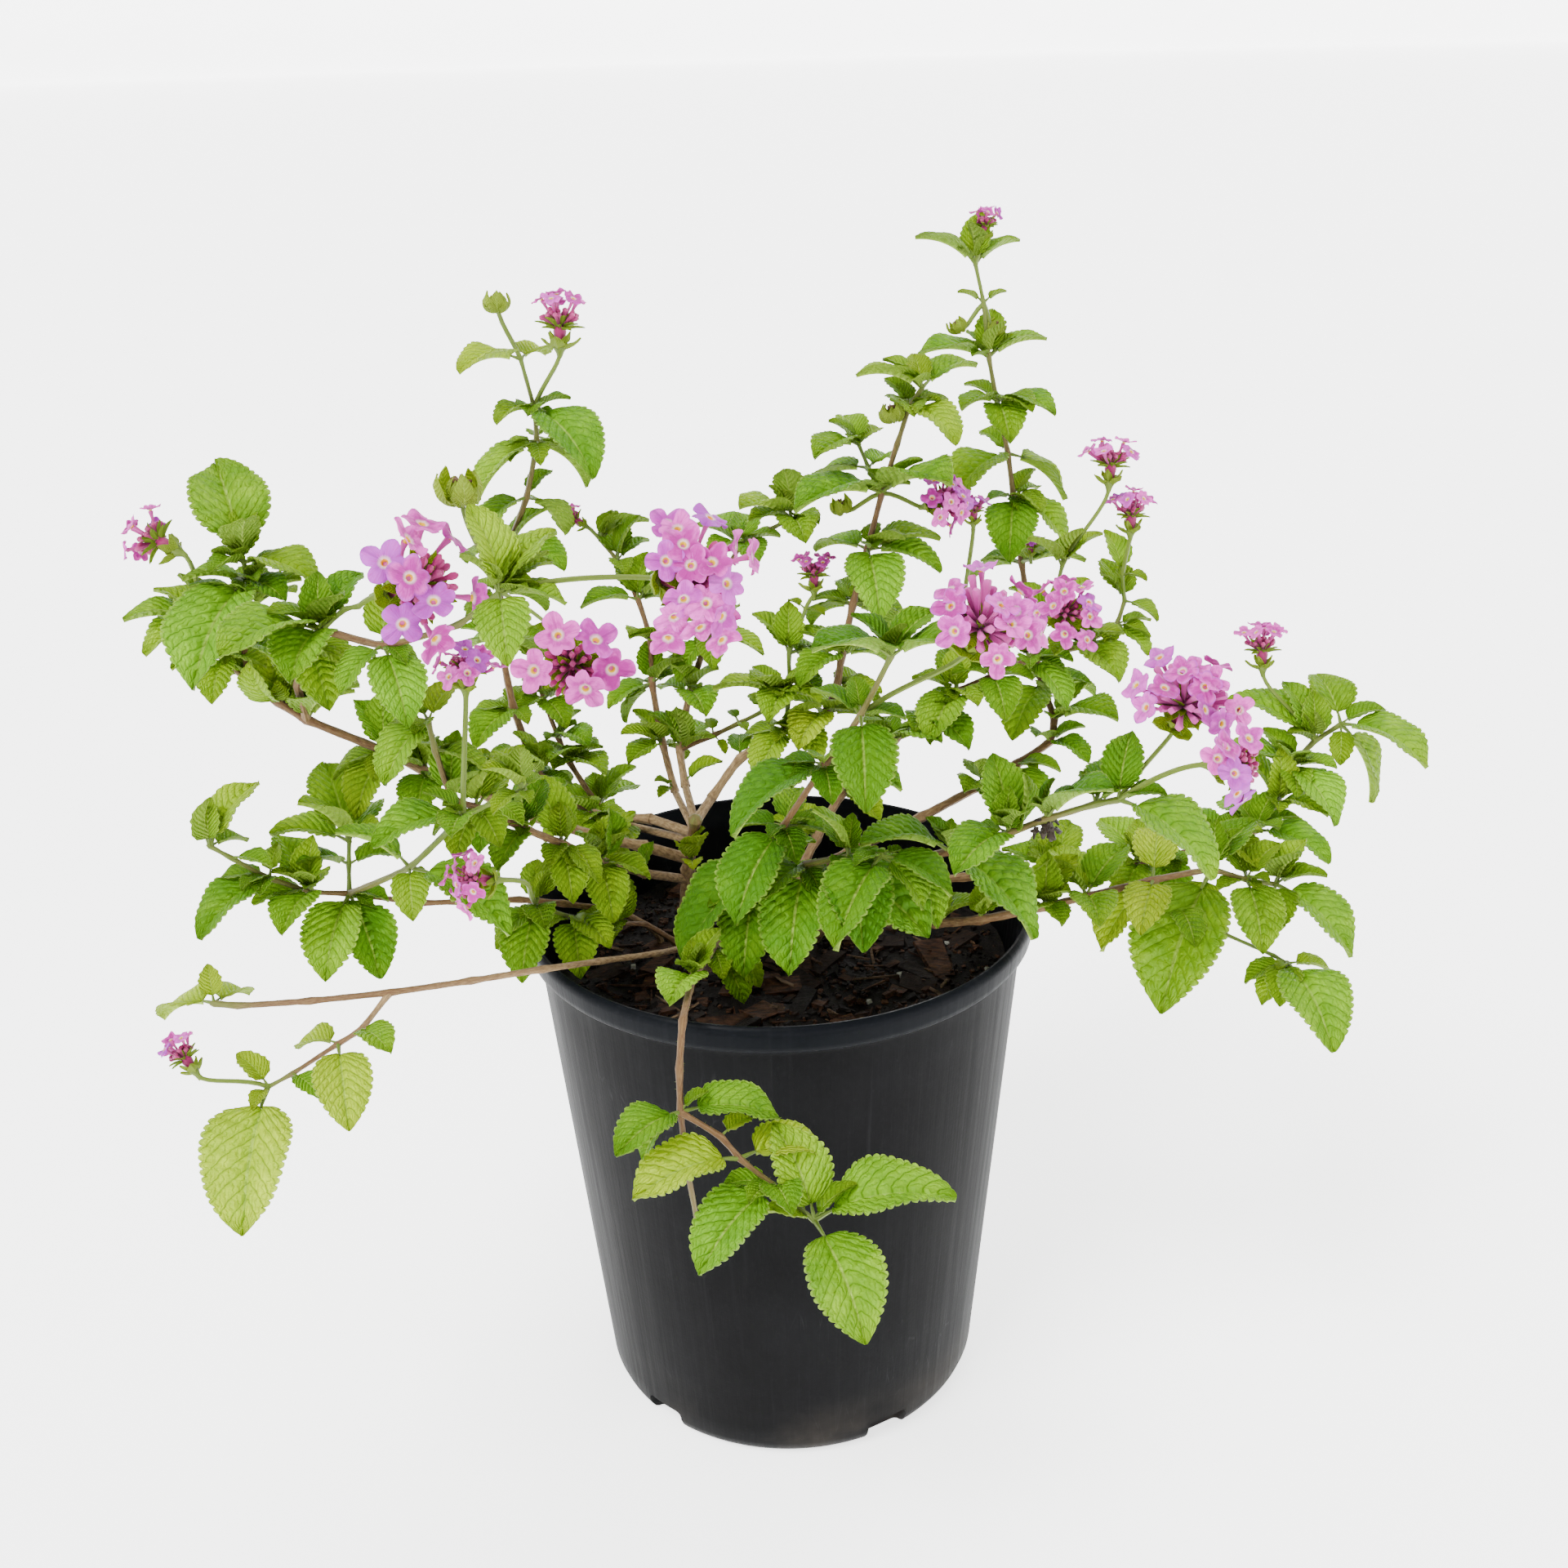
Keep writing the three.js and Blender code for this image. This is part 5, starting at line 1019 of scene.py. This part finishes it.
def leaf_material():
    """Puffed cells on top with painted shade in the sunken side veins; raised pale veins below."""
    m = Nodes("lantana_leaf")
    x, y, side = m.mark("spot")
    rank, u, t = m.mark("vein")
    yellow, light, seed = m.mark("tint")
    place = m.join(x, y, seed * 90.0)
    warp = m.noise(place, 0.35, 2.0) - 0.5
    reach = m.maths("ABSOLUTE", u)
    bent = rank + warp * 0.3
    gap = m.zigzag(bent)
    rung = m.zigzag(m.maths("FLOOR", bent) * 0.37 + (reach * 5.5 + warp * 2.2))
    cell = gap ** 0.55 * (0.55 + rung ** 0.6 * 0.45)
    rib = m.span(reach, 0.06, 0.02)
    rungs = m.span(rung, 0.3, 0.0) * m.span(gap, 0.1, 0.5)
    blotch = m.noise(place, 0.12)
    ripe = m.span(yellow + (blotch * 0.25 + t * 0.15), 0.25, 1.25)
    deep = m.blend(ripe, LEAF_DEEP, LEAF_DEEP_YELLOW)
    fresh = m.blend(ripe, LEAF_FRESH, LEAF_FRESH_YELLOW)
    colour = m.mottle(blotch * 0.55 + (light * 0.17 + 0.2), (deep, fresh), 0.2, 0.8)
    # Painted shade: the sunken side and cross veins are darkened towards the deep green.
    upper = m.blend(m.most(m.span(gap, 0.26, 0.0) * 0.8, rungs * 0.5), colour, deep)
    upper = m.blend(m.span(reach, 0.9, 1.0, 0.0, 0.35), upper, LEAF_VEIN)
    upper = m.blend(rib * 0.55, upper, LEAF_VEIN)
    veins = m.most(m.most(rib, m.span(gap, 0.14, 0.0)), rungs * 0.5)
    under = m.blend(veins * 0.6, m.blend(0.55, colour, LEAF_UNDER), LEAF_VEIN)
    colour = m.blend(m.span(side, -0.2, 0.2), under, upper)
    fine = m.noise(place, 2.6)
    normal = m.bump((fine * 0.05 + cell) * side, 0.9, 0.0012)
    surface = m.surface(colour, m.span(fine, 0.3, 0.7, 0.42, 0.56), normal, 0.14)
    return m.finish(m.let_through(0.38, surface, m.blend(0.5, colour, LEAF_GLOW), normal))


def stem_material():
    """Green and ribbed while young, then red-brown, then pale bark with a rough grain."""
    m = Nodes("lantana_stem")
    turn, run, age = m.mark("spot")
    yellow, light, _ = m.mark("tint")
    place = m.join(m.maths("SINE", turn) * 1.4, m.maths("COSINE", turn) * 1.4, run * 0.3)
    grain = m.noise(place, 1.6, 5.0, 0.65)
    patch = m.noise(m.join(turn, run * 0.06, 0.0), 1.0, 2.0)
    ripe = age + (patch - 0.5) * 0.25
    colour = m.mottle(ripe, (m.mottle(yellow, STEM_YOUNG, 0.0, 1.0), m.mottle(grain, STEM_RED)),
                      0.1, 0.35)
    colour = m.mottle(ripe, (colour, m.mottle(grain, STEM_OLD)), 0.45, 0.8)
    colour = m.mottle(light, (colour, DRIED_BROWN), 0.5 * DRIED, DRIED)
    ribs = m.maths("SINE", turn * 8.0)
    normal = m.bump(grain * 0.8 + ribs * 0.12, 0.6, 0.0003)
    return m.finish(m.surface(colour, m.span(age, 0.0, 1.0, 0.5, 0.8), normal, 0.25, {
        "Subsurface Weight": 0.05, "Subsurface Radius": (0.001, 0.0012, 0.0004),
        "Sheen Weight": 0.05}))


def petal_material():
    """Lilac to violet lobes round a pale ring and a yellow eye."""
    m = Nodes("lantana_petal")
    far, turn, age = m.mark("spot")
    level, _, _ = m.mark("vein")
    hue, light, seed = m.mark("tint")
    ray = m.noise(m.join(turn * 6.0, level, seed), 1.6)
    cloud = m.noise(m.join(m.maths("SINE", turn), m.maths("COSINE", turn), level * 2.0 + seed),
                    1.4, 2.0)
    lilac = m.mottle(cloud * 0.7 + level * 0.3 + light * 0.16, (PETAL_DEEP, PETAL_LIGHT),
                     0.36, 0.74)
    lilac = m.blend(m.span(hue + age, 0.7, 1.7, 0.0, 0.75), lilac, PETAL_VIOLET)
    lilac = m.blend(m.span(level, 0.82, 1.0) * m.span(age, 0.4, 1.0, 0.1, 0.6),
                    lilac, PETAL_VIOLET)
    lilac = m.blend(m.span(ray, 0.5, 0.7, 0.0, 0.4), lilac, PETAL_DEEP)
    pale = m.mottle(far, (EYE_RING, lilac), 0.15, 0.32)
    eye = m.mottle(age, (EYE_YOUNG, EYE_OLD), 0.4, 1.0)
    eye = m.mottle(far, (eye, EYE_CORE), 0.09, 0.05)
    colour = m.mottle(far, (eye, pale), 0.13, 0.18)
    normal = m.bump(ray + cloud * 0.5, 0.7, 0.0005)
    surface = m.surface(colour, 0.55, normal, 0.15, {"Sheen Weight": 0.1, "Sheen Roughness": 0.4})
    return m.finish(m.let_through(0.3, surface, colour, normal))


def tube_material(name, shades, rough):
    """Floret tubes and buds: a gradient along the form, with a soft lengthwise grain."""
    m = Nodes(name)
    turn, run, age = m.mark("spot")
    hue, _, _ = m.mark("tint")
    grain = m.noise(m.join(turn, run * 0.2, hue), 2.2)
    colour = m.mottle(run * 0.1 + grain * 0.5, shades, 0.2, 1.1)
    colour = m.blend(m.span(age, 0.0, 1.0, 0.0, 0.3), colour, TUBE_AGED)
    return m.finish(m.surface(colour, rough, m.bump(grain, 0.4, 0.0003), 0.2, {
        "Subsurface Weight": 0.2, "Subsurface Radius": (0.002, 0.0006, 0.0015),
        "Sheen Weight": 0.1}))


def pot_material():
    """Near-black plastic with faint upright streaks, scuffs, dirt near the foot and a darker,
    bluer lip.
    """
    m = Nodes("pot_plastic")
    place = m.place()
    x, y, z = m.split(place)
    swing = m.maths("ARCTAN2", y, x)
    streak = m.noise(m.join(swing * 9.0, z * 3.0, 0.0), 3.0, 6.0, 0.6)
    cloud = m.noise(place, 14.0, 5.0, 0.6)
    grit = m.noise(place, 900.0, 2.0)
    scuff = m.node("TexVoronoi", {"Vector": m.join(swing * 22.0, z * 30.0, 0.0), "Scale": 1.0},
                   feature="DISTANCE_TO_EDGE")
    mark = m.span(scuff, 0.02, 0.0) * m.span(cloud, 0.55, 0.7)
    base = m.mottle(cloud, POT_BLACK)
    base = m.blend(m.span(streak, 0.52, 0.8, 0.0, 0.5), base, POT_STREAK)
    low = m.span(z, 0.03, 0.0) * m.span(cloud, 0.45, 0.7)
    base = m.blend(low * 0.45, base, POT_DIRT)
    base = m.blend(mark * 0.35, base, POT_SCUFF)
    # The lip band is made darker and bluer, and a little glossier.
    lip_foot = POT_HEIGHT - POT_LIP_HEIGHT
    lip = m.span(z, (lip_foot - 1) * MM, (lip_foot + 1) * MM)
    base = m.blend(lip * 0.6, base, POT_LIP)
    rough = m.span(streak, 0.2, 0.8, 0.4, 0.54) + lip * -0.1
    height = cloud * 0.6 + (grit * 0.1 + streak * 0.5)
    return m.finish(m.surface(base, rough, m.bump(height, 0.35, 0.0008), POT_SHINE))


def soil_material():
    """Dark crumbs, reddish bark chips, pale fibres and stones, told apart by a lump's tint."""
    m = Nodes("potting_mix")
    place = m.place()
    kind, _, _ = m.mark("tint")
    grain = m.noise(place, 420.0, 6.0, 0.7)
    clump = m.noise(place, 90.0, 4.0, 0.6)
    x, y, z = m.split(place)
    fibre = m.noise(m.join(x * 0.25, y, z), 900.0)
    colour = m.mottle(kind, (m.mottle(grain, MIX_DARK), m.mottle(fibre, MIX_CHIP)), 0.12, 0.42)
    colour = m.mottle(kind, (colour, m.mottle(fibre, MIX_FIBRE)), 0.5, 0.75)
    colour = m.mottle(kind, (colour, m.mottle(grain, MIX_STONE)), 0.9, 0.98)
    colour = m.blend(m.span(clump, 0.35, 0.75, 0.0, 0.55), colour, MIX_DAMP)
    normal = m.bump(grain + fibre * 0.6, 0.9, 0.0012)
    return m.finish(m.surface(colour, m.span(clump, 0.3, 0.7, 0.62, 0.9), normal, 0.15))


def floor_material():
    m = Nodes("pale_floor")
    place = m.place()
    colour = m.mottle(m.noise(place, 3.0), FLOOR)
    return m.finish(m.surface(colour, 0.9, m.bump(m.noise(place, 60.0), 0.02, 0.001), 0.1, {
        "Emission Color": (1, 1, 1), "Emission Strength": FLOOR_GLOW}))


leaf_skin, stem_skin, petal_skin = leaf_material(), stem_material(), petal_material()
tube_skin = tube_material("lantana_floret_tube", TUBE_SHADES, 0.5)
bud_skin = tube_material("lantana_bud", BUD_SHADES, 0.45)


# ---------------------------------------------------------------- growing
def root_of(name, path, index):
    if index == 1 and name in HUB:
        return path[1] + unit(path[2] - path[1]) * HUB_LEAF
    return path[index]


def hairs(piece, path, radii, density, length):
    """Short stiff hairs that stand out from a stem, as thin three-sided spikes."""
    gaps = np.linalg.norm(np.diff(path, axis=0), axis=1)
    count = int(gaps.sum() * density)
    run = np.concatenate([[0], np.cumsum(gaps)])
    for at in rng.uniform(0, run[-1], count):
        i = min(np.searchsorted(run, at) - 1, len(gaps) - 1)
        i = max(i, 0)
        t = (at - run[i]) / gaps[i]
        along = unit(path[i + 1] - path[i])
        out = rng.normal(size=3)
        out = unit(out - along * np.dot(out, along))
        base = path[i] + (path[i + 1] - path[i]) * t + out * (radii[i] * 0.94)
        side = np.cross(out, along) * 0.05
        tip = base + unit(out + along * rng.uniform(-0.2, 0.6)) * length * rng.uniform(0.6, 1.2)
        corner, half = base - side * 0.5, along * 0.045
        piece.add([base + side, corner + half, corner - half, tip],
                  [[[0, 1, 3], [1, 2, 3], [2, 0, 3], [2, 1, 0]]], STEM, tint=(0.9, 0.8, 0))


pieces = {}
paths = {}


def piece_of(node):
    if node not in pieces:
        pieces[node] = Piece("visual_" + node)
    return pieces[node]


def grow_shoot(name, node, thick, thin, wood, nodes, leaves):
    """One stem with its swollen joints, hairs, leaves and the tufts in their axils."""
    piece = piece_of(node)
    path = np.array(nodes, float)
    paths[name] = (node, path)
    share = np.linspace(0, 1, len(path))
    radii = (thick + (thin - thick) * share) * (CROWN_TRIM if node == "crown" else STEM_TRIM)
    end = path[-1] + unit(path[-1] - path[-2]) * STEM_TIP
    first = 1 if name in HUB else 0
    route, girth, stops = smooth_path([*path[first:], end], [*radii[first:], radii[-1] * 0.6])
    run = run_along(route)
    run *= stops[-1] / run[-1]
    knots = np.exp(-((run[:, None] - stops[None, :-1]) / KNOT_REACH) ** 2).max(axis=1)
    age = np.clip(wood * (1.25 - run / run[-1]), 0, 1)
    girth = girth * (1 + KNOT_SWELL * knots + 0.05 * np.sin(run * 0.7))
    tube(piece, route, girth, STEM, sides=10, ridges=0.09 if wood < WOODY else 0.03, age=age)
    if name in HUB:
        crown_route, crown_girth, _ = smooth_path(path[:2], radii[:2], step=2)
        tube(piece_of("crown"), crown_route, crown_girth, STEM, sides=14, ridges=0.04, age=1)
    if node != "crown":
        hairs(piece, route, girth, STEM_HAIRS[0] * (1 - 0.6 * wood), STEM_HAIRS[1])
    for index, heading, rise, length in leaves:
        along_share = index / (len(path) - 1)
        yellow = np.clip(0.22 + 0.3 * (1 - length / 40) + 0.35 * max(along_share - 0.75, 0) * 2
                         + rng.normal(0, 0.14), 0, 1)
        light = rng.normal(0, 0.5)
        pale = index in PALE_LEAVES.get(name, ())
        if pale:
            yellow, light = 0.95, 0.6
        elif name.startswith(DEEP_SHOOTS):
            yellow, light = 0.5 * yellow, light - DEEPER
        leaf(piece, root_of(name, path, index), heading, rise, length,
             (yellow, light, rng.random()))
        crowd = sum(other[0] == index for other in leaves)
        spare = TUFT_SHARE if crowd < 3 else TUFT_SHARE / (crowd - 1)
        if not pale and index > 1 and length > TUFT_FROM and rng.random() < spare:
            for turn, size in TUFT:
                leaf(piece, path[index], heading + turn * rng.uniform(25, 70),
                     rise + rng.uniform(5, 50), rng.uniform(*TUFT_LEAF) * size,
                     (min(yellow + 0.1, 0.5), light, rng.random()))


def grow_head(name, shoot, index, foot, heading, rise, across, face, rings):
    """A flower stalk with its head: in flower, or green where no rings of florets are given."""
    node, path = paths[shoot]
    piece = piece_of(node)
    axes = head_axes(heading, rise)
    foot = np.array(foot, float)
    sunk = CALYX_DEPTH * 0.6 if rings else 0
    stalk = flower_stalk(piece, root_of(shoot, path, index), foot, axes[0], sunk)
    hairs(piece, stalk, np.full(len(stalk), 0.8), *STALK_HAIRS)
    if rings:
        bract_cup(piece, foot, axes, across * CALYX_SHARE)
        bloom(name, foot, heading, rise, across, face, rings)
    else:
        bud_head(piece, foot, axes, across)


for row in SHOOTS:
    grow_shoot(*row)
for row in HEADS:
    grow_head(*row)
for shoot, index in WITHERED:
    withered_head(piece_of(paths[shoot][0]), paths[shoot][1][index])
for row in YOUNG_LEAVES:
    leaf(piece_of("crown"), np.array(YOUNG_SHOOT, float), *row, (0.75, 1.0, rng.random()))
for node, piece in pieces.items():
    piece.make([leaf_skin, stem_skin], [node], "wood" if node == "crown" else "foliage")


# ---------------------------------------------------------------- pot
def wall_radius(z):
    return POT_FOOT_RADIUS + (POT_TOP_RADIUS - POT_FOOT_RADIUS) * z / (POT_HEIGHT - POT_LIP_HEIGHT)


def lathe(profile, sides, wobble=0.0):
    """A closed turned form; the profile runs from the axis, round and back to the axis."""
    profile = np.array(profile, float)
    turns = circle(sides)
    rings = profile[1:-1]
    sway = 1 + wobble * (np.sin(2 * turns + 0.6) + 0.5 * np.sin(3 * turns))
    points = [[(r * k * math.cos(a), r * k * math.sin(a), z) for a, k in zip(turns, sway)]
              for r, z in rings]
    return np.array(points).reshape(-1, 3), closed_rings(len(rings), sides)


def build_pot():
    lip = POT_HEIGHT - POT_LIP_HEIGHT
    outer = [(wall_radius(z), z) for z in np.linspace(POT_EDGE, lip - 2.5, 26)]
    inner = [(wall_radius(z) - POT_WALL, z) for z in np.linspace(lip - 1, POT_EDGE + 2, 12)]
    profile = [
        (0, 0), (POT_FOOT_RADIUS - POT_EDGE - 3, 0), (POT_FOOT_RADIUS - POT_EDGE, 0.1),
        (POT_FOOT_RADIUS - 3.4, 0.5), (POT_FOOT_RADIUS - 1.7, 1.7), (POT_FOOT_RADIUS - 0.4, 3.6),
        *outer,
        (POT_TOP_RADIUS + 0.1, lip - 0.9), (POT_TOP_RADIUS + 0.7, lip - 0.2),
        (POT_LIP_RADIUS - 1.4, lip + 0.3), (POT_LIP_RADIUS - 0.7, lip + 1.1),
        (POT_LIP_RADIUS - 0.5, lip + 2.6), (POT_LIP_RADIUS - 0.1, POT_HEIGHT - 3),
        (POT_LIP_RADIUS - 0.1, POT_HEIGHT - 1.6), (POT_LIP_RADIUS - 0.7, POT_HEIGHT - 0.5),
        (POT_LIP_RADIUS - 1.6, POT_HEIGHT), (POT_LIP_RADIUS - 2.4, POT_HEIGHT - 0.2),
        (POT_LIP_RADIUS - 3.0, POT_HEIGHT - 1.4), (POT_TOP_RADIUS - POT_WALL + 0.9, lip + 4),
        *inner,
        (POT_FOOT_RADIUS - POT_EDGE, POT_WALL), (0, POT_WALL),
    ]
    piece = Piece("visual_pot")
    points, faces = lathe(profile, POT_SIDES, wobble=0.0006)
    piece.add(points, faces, 0)
    pot = piece.make([pot_material()], ["pot"], "plastic", crease=POT_CREASE)
    cutters = []
    for k in range(DRAINS):
        bpy.ops.mesh.primitive_cube_add(size=1)
        cutter = bpy.context.object
        turn = Matrix.Rotation(2 * math.pi * (k + DRAIN_START) / DRAINS, 4, "Z")
        cutter.data.transform(Matrix.Diagonal((DRAIN_DEPTH * MM, DRAIN_WIDTH * MM,
                                               2 * DRAIN_HEIGHT * MM, 1)))
        cutter.data.transform(turn @ Matrix.Translation((POT_FOOT_RADIUS * MM, 0, 0)))
        bevel = cutter.modifiers.new("round", "BEVEL")
        bevel.width = DRAIN_ROUND * MM
        bevel.segments = 3
        cutters.append(cutter)
        cut = pot.modifiers.new("drain", "BOOLEAN")
        cut.object = cutter
        cut.solver = "EXACT"
    bpy.context.view_layer.update()
    cut_pot = pot.evaluated_get(bpy.context.evaluated_depsgraph_get())
    shaped = bpy.data.meshes.new_from_object(cut_pot)
    pot.modifiers.clear()
    pot.data = shaped
    for cutter in cutters:
        bpy.data.objects.remove(cutter)
    pot.data.set_sharp_from_angle(angle=math.radians(POT_CREASE))


# ---------------------------------------------------------------- potting mix
def lump(piece, place, size, turn, tint, rough=0.25):
    """A broken crumb or chip: a block with its corners knocked about, four draws of them spare."""
    corners = np.array([(x, y, z) for x in (-1, 1) for y in (-1, 1) for z in (-1, 1)], float)
    knocks = 1 + rng.uniform(-rough, rough, (12, 3))[:8]
    points = corners * (0.85, 0.85, 0.8) * knocks * np.array(size) / 2
    spin = np.array(Matrix.Rotation(turn[2], 3, "Z") @ Matrix.Rotation(turn[0], 3, "X")
                    @ Matrix.Rotation(turn[1], 3, "Y"))
    points = points @ spin.T + place
    faces = [[0, 1, 3, 2], [4, 6, 7, 5], [0, 4, 5, 1], [2, 3, 7, 6], [0, 2, 6, 4], [1, 5, 7, 3]]
    piece.add(points, [faces], 0, tint=tint)


def soil_height(x, y):
    swell = SOIL_RELIEF * np.sin(0.13 * x + 1) * np.cos(0.17 * y)
    fine = 0.7 * np.sin(0.55 * x + 0.4 * y) * np.cos(0.47 * y - 0.3 * x) + 0.5 * np.sin(1.3 * x) \
        * np.cos(1.1 * y + 0.5)
    return SOIL_TOP + swell + 0.45 * fine


def scatter(piece, rim, count, sizes, tints, rise):
    """Lumps strewn over the mix, each with its middle a share, rise, of its height above it."""
    for _ in range(count):
        size = [rng.uniform(*pair) for pair in sizes]
        out = (rim - 2 - 0.5 * size[0]) * math.sqrt(rng.random())
        swing = rng.uniform(0, 2 * np.pi)
        x, y = out * math.cos(swing), out * math.sin(swing)
        z = min(soil_height(x, y) + rise * size[2], SOIL_TOP + LUMP_LIMIT - 0.4 * size[2])
        turn = (rng.normal(0, 0.25), rng.normal(0, 0.25), rng.uniform(0, np.pi))
        lump(piece, (x, y, z), size, turn, (rng.uniform(*tints), 0, rng.random()))


def build_soil():
    piece = Piece("visual_soil")
    rim = wall_radius(SOIL_TOP) - POT_WALL - SOIL_GAP
    turns = circle(SOIL_SIDES)
    low = [(SOIL_FLOOR_RADIUS - 6, POT_WALL + SOIL_GAP), (SOIL_FLOOR_RADIUS, POT_WALL + SOIL_GAP),
           (wall_radius(12) - POT_WALL - SOIL_GAP, 12), (rim - 0.3, SOIL_TOP - 4)]
    rows = [np.stack([r * np.cos(turns), r * np.sin(turns), np.full(SOIL_SIDES, z)], axis=1)
            for r, z in low]
    for r in rim * np.linspace(1, 0.02, SOIL_RINGS):
        x, y = r * np.cos(turns), r * np.sin(turns)
        jolt = rng.normal(0, 0.35, SOIL_SIDES) * min(1, r / 10)
        height = np.minimum(soil_height(x, y) + jolt, SOIL_TOP + SOIL_LIMIT)
        rows.append(np.stack([x, y, height], axis=1))
    piece.add(np.concatenate(rows), closed_rings(len(rows), SOIL_SIDES), 0)
    for row in LITTER:
        scatter(piece, rim, *row)
    lump(piece, (*PEBBLE_AT, SOIL_TOP + 1), (5, 4, 3), (0, 0, 0.4), (0.98, 0, 0))
    piece.make([soil_material()], ["soil"], "bark", crease=30)


build_pot()
build_soil()


# ---------------------------------------------------------------- floor, light, camera
def build_floor():
    """A pale floor that sweeps up into a round wall, far behind the plant on every side."""
    sweep = [(FLOOR_REACH - FLOOR_SWEEP * (1 - math.sin(a)), FLOOR_SWEEP * (1 - math.cos(a)))
             for a in np.linspace(0, np.pi / 2, 12)]
    rings = [(1, 0), *sweep, (FLOOR_REACH, FLOOR_WALL)]
    turns = circle(FLOOR_SIDES)
    verts = [(r * math.cos(a), r * math.sin(a), z) for r, z in rings for a in turns]
    faces = [list(range(FLOOR_SIDES)), *ring_faces(len(rings), FLOOR_SIDES, inward=True).tolist()]
    mesh = bpy.data.meshes.new("floor")
    mesh.from_pydata(verts, [], faces)
    mesh.materials.append(floor_material())
    mesh.polygons.foreach_set("use_smooth", np.ones(len(faces), bool))
    floor = placed("floor", mesh)


def aim(obj, right, up, back, at=(0, 0, 0)):
    """Stands a lamp or camera at a place, with its own axes along these three."""
    obj.matrix_world = Matrix([[right[i], up[i], back[i], at[i]] for i in range(3)]
                              + [[0, 0, 0, 1]])


def add_sun(name, strength, toward, softness):
    """A soft lamp shining from the direction named, even over the whole floor."""
    light = bpy.data.lights.new(name, "SUN")
    light.energy = strength
    light.angle = math.radians(softness)
    back = unit(toward)
    right = unit(np.cross((0, 0, 1), back))
    aim(placed(name, light), right, np.cross(back, right), back)


def build_sky():
    world = bpy.data.worlds.new("studio")
    bpy.context.scene.world = world
    world.use_nodes = True
    background = world.node_tree.nodes["Background"]
    background.inputs[0].default_value = (1, 1, 1, 1)
    background.inputs[1].default_value = SKY


def place_camera():
    forward = np.array([math.sin(CAMERA_YAW) * math.cos(CAMERA_PITCH),
                        math.cos(CAMERA_YAW) * math.cos(CAMERA_PITCH), -math.sin(CAMERA_PITCH)])
    level = np.array([math.cos(CAMERA_YAW), -math.sin(CAMERA_YAW), 0])
    lift = np.cross(level, forward)
    right = level * math.cos(CAMERA_ROLL) + lift * math.sin(CAMERA_ROLL)
    up = lift * math.cos(CAMERA_ROLL) - level * math.sin(CAMERA_ROLL)
    lens = bpy.data.cameras.new("camera")
    lens.lens = CAMERA_LENS
    lens.sensor_width = 36
    camera = placed("camera", lens)
    aim(camera, right, up, -forward, CAMERA_AT)
    bpy.context.scene.camera = camera


build_floor()
build_sky()
add_sun("key", *KEY)
add_sun("rim", *RIM)
place_camera()
